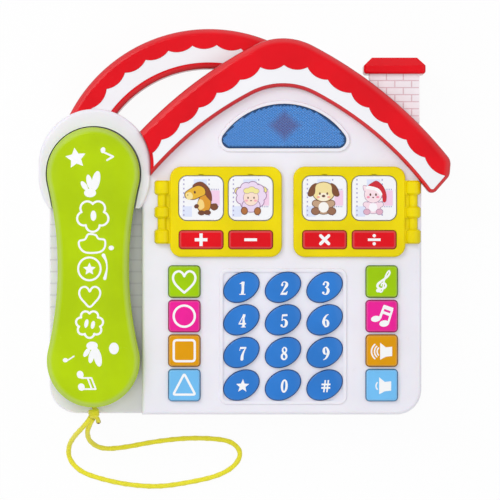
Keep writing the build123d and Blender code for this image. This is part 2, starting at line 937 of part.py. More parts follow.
def hinge_column(side):
    """Moulded knuckles on the outer side of a frame, joined by a thin web."""
    edge = frame_centre(side) + side * frame_width / 2
    x = edge + side * knuckle_width / 2
    low_end, high_end = knuckles[-1][0], knuckles[0][1]
    left, right = min(x, edge - side), max(x, edge - side)
    above = block(x - 12, x + 12, frame_low - 5, frame_high + 5, face_z, face_z + 12)
    column = block(left, right, low_end, high_end, face_z, face_z + knuckle_web)
    for low, high in knuckles:
        knuckle = Cylinder(knuckle_r, high - low)
        knuckle = chamfer(knuckle.edges().filter_by(GeomType.CIRCLE), knuckle_bevel)
        knuckle = Pos(x, (low + high) / 2, knuckle_axis_z) * Rot(90, 0, 0) * knuckle
        web = block(left, right, low, high, face_z, face_z + 2.2)
        column += (knuckle & above) + web
    span = high_end - low_end
    barrel = Pos(x, low_end + span / 2, knuckle_axis_z) * Rot(90, 0, 0) * Cylinder(barrel_r, span - 1)
    return column + (barrel & above)


def window_frame(side):
    x = frame_centre(side)
    height = frame_high - frame_low
    outline = rounded(frame_width, height, frame_r, x, (frame_low + frame_high) / 2)
    plate = slab(outline, face_z, face_z + frame_thick)
    plate = softened(plate, face_z + frame_thick, frame_edge_r)
    plate += hinge_column(side)
    for t in (-1, 1):
        bx = x + t * tile_pitch / 2
        plate -= slab(tile_face(bx, tile_y, frame_gap), face_z, face_z + 5)
        plate -= slab(bar_face(bx, bar_y, frame_gap), face_z, face_z + 5)
        notch_y = tile_y + tile_side / 2 + frame_gap
        notch = Pos(bx, notch_y) * Rectangle(notch_width, 2 * notch_height)
        plate -= slab(notch, face_z + 0.6, face_z + 5)
    for px, py in peg_places(side):
        plate += rod(px, py, peg_r, face_in_z, face_z)
    return plate - slab(offset(roof_band(), amount=frame_gap), face_z, roof_top)


def window_lens():
    pane = softened(slab(lens_outline(), lens_bottom, lens_top), lens_top, lens_edge_r)
    return pane + slab(lens_outline(lens_flange), lens_bottom - 1.2, lens_bottom)


# ================================================================ roof, handle, chimney
def roof():
    band = roof_band() - ring_outline(trim_gap)
    body = slab(band, face_z, roof_top)
    ridge = [e for e in edges_at(body, roof_top) if on_roof_outside(e)]
    body = fillet(ridge, roof_edge_r)
    body += slab(band - offset(house_outline(), amount=trim_gap), roof_skirt_z, face_z)
    body -= slab(offset(band, amount=-roof_shell), face_z, roof_top - trim_depth - roof_floor)
    return body - slab(roof_channel(), roof_top - trim_depth, roof_top + 1)


def on_roof_outside(edge):
    """Whether an edge belongs to the two outer slopes or the crest between them."""
    middle = edge @ 0.5
    return middle.Y > eave_y + 2 and under_arc_gap(middle) < 1.0


def under_arc_gap(point):
    """How far a point lies below the roof's outer edge, along Y."""
    across = Line((point.X, house_bottom), (point.X, roof_crest_y + 20))
    cut = across & under_roof()
    return cut.bounding_box().max.Y - point.Y


def roof_trim():
    bed = offset(roof_channel(), amount=-trim_gap) - ring_outline(roof_lip)
    return slab(bed, roof_top - trim_depth, roof_top - trim_sunk)


def handle_plan():
    """The arch in plan, stopped at the casing."""
    arch = disc(handle_x, handle_y, handle_r_out) - disc(handle_x, handle_y, handle_r_in)
    half = Pos(handle_x, handle_y + 75) * Rectangle(2 * handle_r_out + 10, 150)
    return (arch & half) - offset(casing_outline(), amount=handle_gap)


def main_piece(shape):
    """The largest solid of a cut shape."""
    return max(shape.solids(), key=lambda s: s.volume)


def handle_arch(low, high):
    return main_piece(slab(handle_plan(), low, high))


def long_arcs(solid, height):
    """The arch's two long edges at one height."""
    return [e for e in edges_at(solid, height) if e.length > 60]


def handle_core():
    """The hollow of the handle, in plan."""
    outer = disc(handle_x, handle_y, handle_r_out - handle_wall)
    return outer - disc(handle_x, handle_y, handle_r_in + handle_wall)


def handle_front():
    body = handle_arch(handle_split_z, handle_front_z)
    body = fillet(long_arcs(body, handle_front_z), handle_edge_r)
    body -= slab(handle_core(), handle_split_z, handle_front_z - trim_depth - 2.4)
    return body - slab(handle_channel(), handle_front_z - trim_depth, handle_front_z + 1)


def handle_trim():
    bed = offset(handle_channel(), amount=-trim_gap) & offset(handle_plan(), amount=-trim_gap)
    return main_piece(slab(bed, handle_front_z - trim_depth, handle_front_z - trim_sunk))


def handle_back():
    body = handle_arch(handle_back_z, handle_split_z)
    body = fillet(long_arcs(body, handle_back_z), handle_edge_r)
    body -= slab(handle_core(), split_z + 1, handle_split_z)
    reach = tang_band() & offset(casing_outline(), amount=handle_gap + 0.5)
    reach -= offset(casing_outline(), amount=-tang_depth)
    return body + slab(reach, tang_z0, split_z - 0.5)


def chimney_x():
    return house_axis + roof_half_span - chimney_in + chimney_width / 2


def mortar_lines(low_y):
    """Grooves between the bricks on all four faces, every other row shifted by half a brick."""
    x0 = chimney_x() - chimney_width / 2
    x1 = x0 + chimney_width
    cuts = []
    rows = int((chimney_top - low_y) / brick_row) + 1
    z0, z1 = chimney_back_z, chimney_front_z
    deep = mortar_depth
    for row in range(rows):
        y = chimney_top - (row + 1) * brick_row
        line_top = y + mortar_width
        cuts.append(block(x0 - 1, x1 + 1, y, line_top, z1 - deep, z1 + 1))
        cuts.append(block(x0 - 1, x1 + 1, y, line_top, z0 - 1, z0 + deep))
        cuts.append(block(x0 - 1, x0 + deep, y, line_top, z0 - 1, z1 + 1))
        cuts.append(block(x1 - deep, x1 + 1, y, line_top, z0 - 1, z1 + 1))
        shift = brick_length / 2 if row % 2 else 0.0
        for i in range(int(chimney_width / brick_length) + 2):
            x = x0 + shift + i * brick_length - mortar_width / 2
            if x0 + 1 < x < x1 - 1:
                cuts.append(block(x, x + mortar_width, y, y + brick_row, z1 - deep, z1 + 1))
                cuts.append(block(x, x + mortar_width, y, y + brick_row, z0 - 1, z0 + deep))
        for i in range(int((z1 - z0) / brick_length) + 2):
            z = z0 + shift + i * brick_length - mortar_width / 2
            if z0 + 1 < z < z1 - 1:
                cuts.append(block(x0 - 1, x0 + deep, y, y + brick_row, z, z + mortar_width))
                cuts.append(block(x1 - deep, x1 + 1, y, y + brick_row, z, z + mortar_width))
    return cuts


def chimney_stack():
    x0 = chimney_x() - chimney_width / 2
    x1 = x0 + chimney_width
    low = house_outline().bounding_box().max.Y - 70.0
    body = block(x0, x1, low, chimney_top, chimney_back_z, chimney_front_z)
    body = body - mortar_lines(low)
    inset = chimney_wall
    z0 = chimney_back_z + inset
    z1 = chimney_front_z - inset
    body += block(x0 + inset, x1 - inset, chimney_top, chimney_top + cap_seat, z0, z1)
    body -= block(x0 + 2 * inset, x1 - 2 * inset, low - 1, chimney_top - 4, z0, z1)
    return main_piece(body - slab(offset(house_outline(), amount=handle_gap), 0, 60))


def chimney_cap():
    x = chimney_x()
    z = (chimney_back_z + chimney_front_z) / 2
    width = chimney_width + 2 * cap_over
    depth = chimney_front_z - chimney_back_z + 2 * cap_over
    body = Pos(x, chimney_top + cap_height / 2, z) * Box(width, cap_height, depth)
    top = body.faces().sort_by(Axis.Y)[-1]
    body = chamfer(top.edges(), cap_corner)
    ends = body.edges().filter_by(Axis.Y)
    body = fillet(ends, cap_edge_r)
    body = fillet(body.faces().sort_by(Axis.Y)[0].edges(), cap_edge_r - 0.3)
    seat = chimney_wall - cap_gap
    x0 = x - chimney_width / 2 + seat
    x1 = x + chimney_width / 2 - seat
    z0 = chimney_back_z + seat
    z1 = chimney_front_z - seat
    return body - block(x0, x1, chimney_top - 1, chimney_top + cap_seat, z0, z1)


# ================================================================ handset
def handset_screw_places():
    return [(handset_x, lobe_top_y - 34.0), (handset_x, lobe_low_y + 34.0)]


def handset_front():
    body = slab(handset_outline(), handset_split_z, handset_top)
    middle = (lobe_top_y + lobe_low_y) / 2
    length = lobe_pitch + 2 * lobe_r + 20
    crown = Rot(90, 0, 0) * Cylinder(handset_crown_r, length)
    body = body & (Pos(handset_x, middle, handset_top - handset_crown_r) * crown)
    rim = [e for e in body.edges() if e.center().Z > handset_split_z + 4]
    body = fillet(rim, handset_edge_r)
    inside = slab(handset_outline(-handset_wall - 1.2), handset_split_z, handset_top - 6.5)
    body -= inside
    for x, y in handset_screw_places():
        boss = rod(x, y, boss_r, handset_split_z, handset_top - 5)
        body += boss - rod(x, y, screw_pilot_r, handset_split_z, handset_top - 7)
    return body


def handset_back():
    upper = slab(handset_outline(), handset_waist_z, handset_split_z)
    upper = softened(upper, handset_waist_z, 2.0)
    pads = [rod(handset_x, y, handset_pad_r, cradle_z, handset_waist_z) for y in (lobe_top_y, lobe_low_y)]
    body = upper + [softened(pad, cradle_z, 1.5) for pad in pads]
    body -= slab(handset_outline(-handset_wall), handset_waist_z + handset_wall, handset_split_z)
    for y in (lobe_top_y, lobe_low_y):
        body -= rod(handset_x, y, handset_pad_r - handset_wall, cradle_z + handset_wall, handset_waist_z + 3)
        body -= rod(handset_x, y, sound_hole_r, cradle_z - 1, cradle_z + 4)
        for i in range(6):
            a = radians(60 * i)
            body -= rod(handset_x + 5 * cos(a), y + 5 * sin(a), sound_hole_r, cradle_z - 1, cradle_z + 4)
    for x, y in handset_screw_places():
        body += rod(x, y, boss_r + 1.0, handset_waist_z + 1, handset_split_z)
        body -= rod(x, y, screw_well_r, handset_waist_z - 1, handset_split_z - 2.5)
        body -= rod(x, y, boss_bore_r, handset_waist_z - 1, handset_split_z)
    end_y = lobe_low_y - lobe_r
    eye = Pos(handset_x, end_y + 2, cord_exit_z) * Rot(90, 0, 0) * Cylinder(exit_hole_r, 8)
    return body - eye


def handset_screws():
    seat = handset_split_z - 2.5
    return [screw(x, y, seat, seat + 8, screw_r, screw_head_r, screw_head) for x, y in handset_screw_places()]


def hook_plunger():
    """The button under the earpiece, pressed flush by the resting handset."""
    y = plunger_y()
    low = plunger_flange_z()
    pin = rod(handset_x, y, plunger_r, low + plunger_flange_depth, cradle_z)
    return pin + rod(handset_x, y, plunger_r + plunger_flange, low, low + plunger_flange_depth)


def plunger_flange_z():
    return cradle_z - casing_wall - plunger_rise - plunger_flange_depth - 0.1


# ================================================================ lanyard
cord_z = cord_d / 2 + 0.05
cord_points = [
    (-92.4, -117.3, 32.6),
    (-95.2, -121.5, 30.4),
    (-99.1, -125.5, 24.4),
    (-103.3, -130.0, 15.4),
    (-107.0, -136.1, 6.6),
    (-107.0, -144.0, cord_z + 0.6),
    (-100.5, -151.5, cord_z),
    (-89.9, -155.6, cord_z),
    (-73.1, -159.6, cord_z),
    (-52.8, -161.3, cord_z),
    (-33.5, -158.4, cord_z),
    (-16.3, -154.6, cord_z),
    (-5.7, -148.5, cord_z),
    (-1.7, -140.4, cord_z),
    (-7.4, -133.5, cord_z),
    (-19.3, -131.6, cord_z),
    (-36.6, -131.4, cord_z),
    (-55.8, -133.7, cord_z),
    (-74.1, -137.3, cord_z + 0.4),
    (-86.6, -138.0, 5.0),
    (-93.5, -133.5, 13.0),
    (-95.2, -127.7, 22.0),
    (-93.5, -122.5, 28.6),
    (-91.2, -118.6, 31.2),
]


def corner_radii(points):
    """Each arc takes up 0.45 of the shorter of its two runs."""
    radii = []
    for a, b, c in zip(points, points[1:], points[2:]):
        before = Vector(*b) - Vector(*a)
        after = Vector(*c) - Vector(*b)
        turn = radians(before.get_angle(after))
        radii.append(0.45 * min(before.length, after.length) / tan(turn / 2))
    return radii


def lanyard_cord():
    radii = corner_radii(cord_points)
    print("cord radii", [round(r, 1) for r in radii])
    path = FilletPolyline(*cord_points, radius=radii)
    profile = Plane(origin=path @ 0, z_dir=path % 0) * Circle(cord_d / 2)
    tube = sweep(profile, path)
    section = pi * (cord_d / 2) ** 2
    print("cord length", round(path.length, 1))
    print("volume over section x length", round(tube.volume / section / path.length, 4))
    return tube


def lanyard_knot():
    """The tied knot outside the handset's end, its neck inside the eye, and a short tail."""
    end_y = lobe_low_y - lobe_r
    y = end_y - knot_r - 0.3
    ball = Pos(handset_x, y, cord_exit_z) * Sphere(knot_r)
    neck = Pos(handset_x, end_y + 1.2, cord_exit_z) * Rot(90, 0, 0) * Cylinder(cord_d / 2, 8)
    tail = Pos(handset_x + 1.9, y - 3.4, cord_exit_z - 2.6) * Rot(120, 0, 25) * Cylinder(cord_d / 2 * 0.9, 6)
    return ball + neck + tail


# ================================================================ writing the pieces
origin_x = (left_edge + roof_right_edge()) / 2
origin_y = (top_edge + house_bottom) / 2


def main():
    write("front_casing", front_casing())
    write("back_casing", back_casing())
    write("roof", roof())
    write("roof_trim", roof_trim())
    write("handle_front", handle_front())
    write("handle_back", handle_back())
    write("handle_trim", handle_trim())
    write("chimney_stack", chimney_stack())
    write("chimney_cap", chimney_cap())
    write("window_lens", window_lens())
    write("window_led", window_led())
    write("left_window_frame", window_frame(-1))
    write("right_window_frame", window_frame(1))
    write("circuit_board", circuit_board())
    write("contact_mat", contact_mat())
    write("board_screws", *board_screws())
    write("speaker", speaker())
    write("casing_screws", *casing_screws())
    write("rubber_feet", *rubber_feet())
    write("battery_door", battery_door())
    write("batteries", *batteries())
    write("battery_contacts", *battery_contacts())
    write("power_switch", power_switch())
    write("switch_knob", switch_knob())
    write("hook_plunger", hook_plunger())
    write("handset_front", handset_front())
    write("handset_back", handset_back())
    write("handset_screws", *handset_screws())
    write("lanyard_cord", lanyard_cord())
    write("lanyard_knot", lanyard_knot())
    write_buttons()


main()
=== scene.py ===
import json
from math import atan2, cos, hypot, pi, radians, sin

import bpy
import numpy as np
from bpy.props import FloatProperty, FloatVectorProperty, PointerProperty
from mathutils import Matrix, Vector
from mathutils.bvhtree import BVHTree
from mathutils.geometry import delaunay_2d_cdt


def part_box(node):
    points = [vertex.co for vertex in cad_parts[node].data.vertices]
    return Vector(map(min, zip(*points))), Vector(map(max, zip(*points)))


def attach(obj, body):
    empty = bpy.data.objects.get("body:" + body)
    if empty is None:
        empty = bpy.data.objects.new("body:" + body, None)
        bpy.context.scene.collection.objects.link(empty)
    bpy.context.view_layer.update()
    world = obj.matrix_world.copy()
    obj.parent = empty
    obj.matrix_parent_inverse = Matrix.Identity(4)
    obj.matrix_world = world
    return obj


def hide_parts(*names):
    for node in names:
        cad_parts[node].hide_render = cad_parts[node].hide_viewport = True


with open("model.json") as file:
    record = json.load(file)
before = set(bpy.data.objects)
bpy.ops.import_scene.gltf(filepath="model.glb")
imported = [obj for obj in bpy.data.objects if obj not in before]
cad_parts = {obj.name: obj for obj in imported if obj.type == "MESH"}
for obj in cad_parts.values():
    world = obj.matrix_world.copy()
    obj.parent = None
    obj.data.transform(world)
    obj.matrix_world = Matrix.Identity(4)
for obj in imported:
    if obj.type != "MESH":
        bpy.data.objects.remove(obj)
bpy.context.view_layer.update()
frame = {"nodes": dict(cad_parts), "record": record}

bl_info = {
    "name": "House telephone looks",
    "version": (1, 0, 0),
    "blender": (4, 5, 0),
    "location": "3D View > Sidebar > Telephone",
    "description": "Plastics, prints, lens and lanyard of a house-shaped toy telephone",
    "category": "Object",
}

MM = 0.001


# ================================================================ colours
def linear(channel):
    """One 0 to 255 screen channel as linear light."""
    c = channel / 255
    return c / 12.92 if c <= 0.04045 else ((c + 0.055) / 1.055) ** 2.4


def ink(red, green, blue):
    return (linear(red), linear(green), linear(blue), 1.0)


WHITE_INK = ink(250, 250, 250)
OUTLINE_BROWN = ink(96, 52, 34)
OUTLINE_PLUM = ink(150, 110, 150)


# ================================================================ shader expressions
class Wire:
    """A node socket that takes part in Python expressions; each operator adds a Math node."""

    def __init__(self, recipe, socket):
        self.recipe = recipe
        self.socket = socket

    def math(self, operation, *values):
        inputs = dict(enumerate((self,) + values))
        return self.recipe.node("ShaderNodeMath", {"operation": operation}, inputs)

    def __add__(self, other):
        return self.math("ADD", other)

    def __radd__(self, other):
        return self.math("ADD", other)

    def __sub__(self, other):
        return self.math("SUBTRACT", other)

    def __rsub__(self, other):
        return (self * -1.0).math("ADD", other)

    def __mul__(self, other):
        return self.math("MULTIPLY", other)

    def __rmul__(self, other):
        return self.math("MULTIPLY", other)

    def __truediv__(self, other):
        return self.math("DIVIDE", other)

    def __abs__(self):
        return self.math("ABSOLUTE")

    def smaller(self, other):
        return self.math("MINIMUM", other)

    def under(self, other):
        return self.math("LESS_THAN", other)

    def over(self, other):
        return self.math("GREATER_THAN", other)

    def part(self):
        """The fraction left over after whole numbers."""
        return self.math("FRACT")

    def ramp(self, low, high):
        """0 at low and 1 at high, straight between."""
        inputs = {0: self, 1: low, 2: high, 3: 0.0, 4: 1.0}
        return self.recipe.node("ShaderNodeMapRange", {"clamp": True}, inputs)


class Recipe:
    """A material being built: a Principled shader and the nodes that feed it."""

    def __init__(self, name):
        self.material = bpy.data.materials.new(name)
        self.material.use_nodes = True
        self.tree = self.material.node_tree
        self.tree.nodes.clear()
        self.shader = self.tree.nodes.new("ShaderNodeBsdfPrincipled")
        self.output = self.tree.nodes.new("ShaderNodeOutputMaterial")
        self.tree.links.new(self.shader.outputs[0], self.output.inputs[0])

    def node(self, kind, settings=None, inputs=None, out=0):
        """Adds a node: its settings first, then the values or links of its sockets."""
        node = self.tree.nodes.new(kind)
        for key, value in (settings or {}).items():
            setattr(node, key, value)
        for key, value in (inputs or {}).items():
            self.feed(node.inputs[key], value)
        return Wire(self, node.outputs[out])

    def feed(self, socket, value):
        if isinstance(value, Wire):
            self.tree.links.new(value.socket, socket)
        else:
            socket.default_value = value

    def set(self, **values):
        """Puts values or links on the shader's sockets; underscores stand for spaces."""
        for key, value in values.items():
            self.feed(self.shader.inputs[key.replace("_", " ")], value)

    def place(self):
        """The point on the piece, in millimetres, as three wires; it moves with the piece."""
        point = self.node("ShaderNodeTexCoord", out=3)
        scaled = self.node("ShaderNodeVectorMath", {"operation": "SCALE"}, {0: point, 3: 1 / MM})
        split = self.tree.nodes.new("ShaderNodeSeparateXYZ")
        self.tree.links.new(scaled.socket, split.inputs[0])
        return [Wire(self, s) for s in split.outputs], scaled

    def noise(self, point, scale, detail=2.0, rough=0.5):
        """Cloudy noise, scale bumps to a millimetre."""
        inputs = {"Vector": point, "Scale": scale, "Detail": detail, "Roughness": rough}
        return self.node("ShaderNodeTexNoise", None, inputs)

    def mix(self, factor, first, second):
        """A colour between two colours."""
        settings = {"data_type": "RGBA", "blend_type": "MIX", "clamp_factor": True}
        return self.node("ShaderNodeMix", settings, {0: factor, 6: first, 7: second}, out=2)

    def bump(self, height, strength, distance):
        inputs = {"Strength": strength, "Distance": distance, "Height": height}
        return self.node("ShaderNodeBump", None, inputs)


def shaded(colour, times):
    """The same colour, lighter or darker."""
    return tuple(min(1.0, c * times) for c in colour[:3]) + (1.0,)


# ================================================================ materials
def normal_parts(m):
    """The surface normal as three wires."""
    geometry = m.tree.nodes.new("ShaderNodeNewGeometry")
    split = m.tree.nodes.new("ShaderNodeSeparateXYZ")
    m.tree.links.new(geometry.outputs["Normal"], split.inputs[0])
    return [Wire(m, s) for s in split.outputs]


def moulded(
    name, colour, rough=0.24, coat=0.1, mottle=0.06, seam=None, subsurface=0.0, shine=0.12, side_shade=0.0, roll=0.0
):
    """Injection-moulded plastic: faint cloudy colour, fine polish marks, and a seam where two halves meet.

    Upright walls can be given painted shade and rounded edges a painted highlight (the roll setting).
    """
    m = Recipe(name)
    (_, _, z), point = m.place()
    clouds = m.noise(point, 0.035, 3.0)
    tone = m.mix(clouds.ramp(0.35, 0.65), shaded(colour, 1 - mottle), shaded(colour, 1 + mottle))
    if seam is not None:
        line = abs(z - seam).ramp(0.28, 0.1)
        tone = m.mix(line * 0.45, tone, shaded(colour, 0.45))
    if side_shade or roll:
        flat = abs(normal_parts(m)[2])
        # The paler copy is a painted highlight for rounded edges (roll), mixed into the colour.
        pale = tuple(c + (0.75 - c) * 0.3 for c in colour[:3]) + (1.0,)
        tone = m.mix(flat.ramp(0.985, 0.85) * flat.ramp(0.4, 0.65) * roll, tone, pale)
        # Painted shade: upright walls are mixed towards a darker copy of the colour.
        tone = m.mix(flat.ramp(0.6, 0.2) * side_shade, tone, shaded(colour, 0.35))
    fine = m.noise(point, 1.6, 2.0)
    swirl = m.noise(point, 0.22, 2.0)
    m.set(Base_Color=tone, Roughness=swirl.ramp(0.2, 0.8) * 0.08 + (rough - 0.04))
    m.set(Normal=m.bump(fine * 0.6 + swirl, 0.05, 0.0004))
    m.set(Coat_Weight=coat, Coat_Roughness=0.08, IOR=1.5, Specular_IOR_Level=shine)
    if subsurface:
        m.set(Subsurface_Weight=subsurface, Subsurface_Scale=0.004)
    return m.material


def grained(name, colour, rough=0.6):
    """Plastic or rubber with a spark-eroded grain."""
    m = Recipe(name)
    _, point = m.place()
    grain = m.node("ShaderNodeTexVoronoi", None, {"Vector": point, "Scale": 1.8})
    clouds = m.noise(point, 0.08, 3.0)
    tone = m.mix(clouds.ramp(0.3, 0.7), shaded(colour, 0.88), shaded(colour, 1.12))
    m.set(Base_Color=tone, Roughness=clouds * 0.15 + (rough - 0.07), Normal=m.bump(grain, 0.15, 0.0003))
    return m.material


def brushed(name, colour):
    """Plated steel with fine turning marks."""
    m = Recipe(name)
    _, point = m.place()
    marks = m.noise(point, 3.0, 4.0)
    m.set(Base_Color=m.mix(marks, shaded(colour, 0.8), colour), Metallic=1.0)
    m.set(Roughness=marks * 0.2 + 0.2, Normal=m.bump(marks, 0.1, 0.0002))
    return m.material


def brickwork(name, colour, groove_shade, front, back, sides, depth):
    """White bricks, a little uneven, with painted shade, a pinkish darker tone, at the bottom of the grooves.
    """
    m = Recipe(name)
    (x, _, z), point = m.place()
    across, _, outward = normal_parts(m)
    half = depth / 2
    # Painted shade: the floors of the grooves are mixed towards a pinkish darker tone.
    groove_shade_mask = outward.over(0.7) * z.under(front - half) + outward.under(-0.7) * z.over(back + half)
    groove_shade_mask = groove_shade_mask + across.under(-0.7) * x.over(sides[0] + half) + across.over(0.7) * x.under(sides[1] - half)
    clouds = m.noise(point, 0.12, 2.0)
    tone = m.mix(clouds.ramp(0.35, 0.65), shaded(colour, 0.95), colour)
    grain = m.noise(point, 0.9, 4.0, 0.7)
    m.set(Base_Color=m.mix(groove_shade_mask.smaller(1.0) * 0.6, tone, groove_shade), Roughness=clouds * 0.2 + 0.35)
    m.set(Normal=m.bump(grain, 0.15, 0.0003), Coat_Weight=0.1)
    return m.material


def lens_plastic(name, colour, lamp, centre, reach, flat):
    """Tinted prisms with a painted highlight at their low edges and painted shade at their points; the lamp
    behind shows as a diamond.
    """
    m = Recipe(name)
    (x, y, z), point = m.place()
    away = abs(x - centre[0]) + abs(y - centre[1]) * 1.08
    behind = away.ramp(reach, reach * 0.5)
    speckle = m.noise(point, 0.6, 3.0, 0.7)
    deep = z.ramp(flat, flat + 0.2)
    # Painted highlight where the prisms are low and painted shade on their points.
    tone = m.mix(deep, shaded(colour, 2.6), shaded(colour, 0.72))
    tone = m.mix(speckle.ramp(0.35, 0.75) * 0.35, tone, shaded(colour, 1.5))
    tone = m.mix(behind * (deep * 0.45 + 0.4), tone, lamp)
    m.set(Base_Color=tone, Roughness=speckle * 0.1 + 0.1, Coat_Weight=0.4, Coat_Roughness=0.05)
    m.set(Normal=m.bump(m.noise(point, 0.5), 0.08, 0.0004), Specular_IOR_Level=0.35)
    return m.material


def printed(name, colour, rough=0.4):
    """Pad-printed ink: nearly flat, a little uneven in thickness."""
    m = Recipe(name)
    _, point = m.place()
    clouds = m.noise(point, 0.9, 3.0)
    m.set(Base_Color=m.mix(clouds, shaded(colour, 0.95), shaded(colour, 1.02)))
    m.set(Roughness=clouds * 0.15 + (rough - 0.07), Normal=m.bump(clouds, 0.06, 0.0002))
    return m.material


def braided(name, colour):
    """Woven yellow yarn: single fibres over the braid's own relief, darker between the strands."""
    m = Recipe(name)
    _, point = m.place()
    fibres = m.noise(point, 3.2, 4.0, 0.75)
    clouds = m.noise(point, 0.25, 2.0)
    tone = m.mix(fibres.ramp(0.3, 0.7), shaded(colour, 0.8), shaded(colour, 1.15))
    m.set(Base_Color=m.mix(clouds.ramp(0.4, 0.7) * 0.25, tone, ink(232, 222, 80)))
    m.set(Roughness=fibres * 0.2 + 0.6, Normal=m.bump(fibres, 0.5, 0.0003))
    m.set(Sheen_Weight=0.35, Sheen_Roughness=0.5)
    return m.material


def circuit_green(name):
    """Solder mask with copper tracks showing through as lighter lines."""
    m = Recipe(name)
    (x, y, _), point = m.place()
    tracks = (x * 0.35).part().under(0.3) * (y * 0.11).part().under(0.75)
    tone = m.mix(tracks, ink(16, 92, 44), ink(40, 130, 70))
    m.set(Base_Color=tone, Roughness=m.noise(point, 0.5) * 0.2 + 0.25, Coat_Weight=0.4)
    return m.material


def cell_wrap(name):
    """Dry-cell wrapper: dark sleeve with a copper-coloured end band."""
    m = Recipe(name)
    (_, y, _), point = m.place()
    band = y.over(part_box("batteries")[1].y / MM - 14.0)
    tone = m.mix(band, ink(30, 32, 38), ink(190, 120, 50))
    m.set(Base_Color=tone, Roughness=m.noise(point, 0.4) * 0.15 + 0.25, Metallic=band * 0.6)
    return m.material


# ================================================================ outlines
def oval(x, y, rx, ry, tilt=0.0, count=40):
    """An ellipse as a closed list of points."""
    ca, sa = cos(radians(tilt)), sin(radians(tilt))
    turns = [2 * pi * i / count for i in range(count)]
    return [(x + rx * cos(t) * ca - ry * sin(t) * sa, y + rx * cos(t) * sa + ry * sin(t) * ca) for t in turns]


def smooth(points, closed=True, steps=8):
    """A smooth line through a few points."""
    n = len(points)
    line = []
    for i in range(n if closed else n - 1):
        if closed:
            a, b, c, d = (points[(i + k) % n] for k in (-1, 0, 1, 2))
        else:
            a, b, c, d = (points[min(max(i + k, 0), n - 1)] for k in (-1, 0, 1, 2))
        for s in range(steps):
            t = s / steps
            line.append(tuple(spline_value(a[k], b[k], c[k], d[k], t) for k in range(len(b))))
    return line if closed else line + [tuple(points[-1])]


def spline_value(a, b, c, d, t):
    """One coordinate of a Catmull-Rom span."""
    return 0.5 * (2 * b + (c - a) * t + (2 * a - 5 * b + 4 * c - d) * t**2 + (3 * b - a - 3 * c + d) * t**3)


def brush(points, widths, closed=False, steps=6):
    """A brush stroke through points, as wide as it says at each one, in short overlapping pieces."""
    if not hasattr(widths, "__len__"):
        widths = [widths] * len(points)
    line = smooth([(p[0], p[1], w) for p, w in zip(points, widths)], closed, steps)
    return stroke_pieces(line, closed)


def straight(points, width, closed=False):
    """A stroke of one width with straight runs and round corners."""
    return stroke_pieces([(p[0], p[1], width) for p in points], closed)


def stroke_pieces(line, closed):
    pieces = []
    pairs = list(zip(line, line[1:] + line[:1])) if closed else list(zip(line, line[1:]))
    for (x0, y0, w0), (x1, y1, w1) in pairs:
        length = hypot(x1 - x0, y1 - y0)
        if length < 1e-6:
            continue
        angle = atan2(y1 - y0, x1 - x0)
        nx, ny = -sin(angle), cos(angle)
        corners = [(x0, y0, -w0 / 2), (x1, y1, -w1 / 2), (x1, y1, w1 / 2), (x0, y0, w0 / 2)]
        pieces.append([(x + nx * w, y + ny * w) for x, y, w in corners])
    for x, y, w in line:
        pieces.append(oval(x, y, w / 2, w / 2, count=16))
    return pieces


def bar(x0, y0, x1, y1):
    return [(x0, y0), (x1, y0), (x1, y1), (x0, y1)]


def star(x, y, outer, inner, turn=90.0, points=5):
    """A star with pointed arms."""
    corners = []
    for i in range(2 * points):
        r = inner if i % 2 else outer
        a = radians(turn + 180 * i / points)
        corners.append((x + r * cos(a), y + r * sin(a)))
    return corners


def petals(count, reach, size):
    """The outline of a round-petalled flower, the gap between two petals at the top."""
    outline = []
    for i in range(12 * count):
        a = 2 * pi * i / (12 * count)
        r = reach + size * abs(sin(count * a / 2)) ** 0.8
        outline.append((r * cos(a + pi / 2), r * sin(a + pi / 2)))
    return outline


def moved(shapes, x, y, size=1.0, turn=0.0, lean=0.0):
    """Shapes scaled, leant, turned and put in place."""
    ca, sa = cos(radians(turn)), sin(radians(turn))
    result = []
    for shape in shapes:
        leant = [((px + lean * py) * size, py * size) for px, py in shape]
        result.append([(x + px * ca - py * sa, y + px * sa + py * ca) for px, py in leant])
    return result


# ================================================================ printed shapes on a surface
def orientation(a, b, c):
    return (b[0] - a[0]) * (c[1] - a[1]) - (b[1] - a[1]) * (c[0] - a[0])


def inside(points, outline):
    """Which of many points lie inside one closed outline."""
    x, y = points[:, 0], points[:, 1]
    hit = np.zeros(len(points), bool)
    ring = np.array(outline)
    for (x0, y0), (x1, y1) in zip(ring, np.roll(ring, -1, axis=0)):
        if y0 == y1:
            continue
        crossing = ((y0 > y) != (y1 > y)) & (x < (x1 - x0) * (y - y0) / (y1 - y0) + x0)
        hit ^= crossing
    return hit


def flat_triangles(shapes, cuts, spacing):
    """Triangles that cover the shapes but not the cuts, with extra points inside so that they can bend."""
    points, edges = [], []
    for ring in shapes + cuts:
        start = len(points)
        points += [Vector(p) for p in ring]
        edges += [(start + i, start + (i + 1) % len(ring)) for i in range(len(ring))]
    box = np.array([p[:] for p in points])
    low, high = box.min(axis=0), box.max(axis=0)
    grid = [
        (gx, gy)
        for gx in np.arange(low[0] + spacing / 3, high[0], spacing)
        for gy in np.arange(low[1] + spacing / 3, high[1], spacing)
    ]
    if grid:
        grid = np.array(grid)
        covered = np.zeros(len(grid), bool)
        for ring in shapes:
            covered |= inside(grid, ring)
        points += [Vector(p) for p in grid[covered]]
    verts, _, faces, *_ = delaunay_2d_cdt(points, edges, [], 0, 1e-5)
    flat = np.array([v[:] for v in verts])
    faces = np.array([f for f in faces if len(f) == 3])
    middle = flat[faces].mean(axis=1)
    keep = np.zeros(len(faces), bool)
    for ring in shapes:
        keep |= inside(middle, ring)
    for ring in cuts:
        keep &= ~inside(middle, ring)
    faces = faces[keep]
    turned = [orientation(flat[a], flat[b], flat[c]) < 0 for a, b, c in faces]
    return flat, [tuple(f[::-1]) if t else tuple(f) for f, t in zip(faces, turned)]


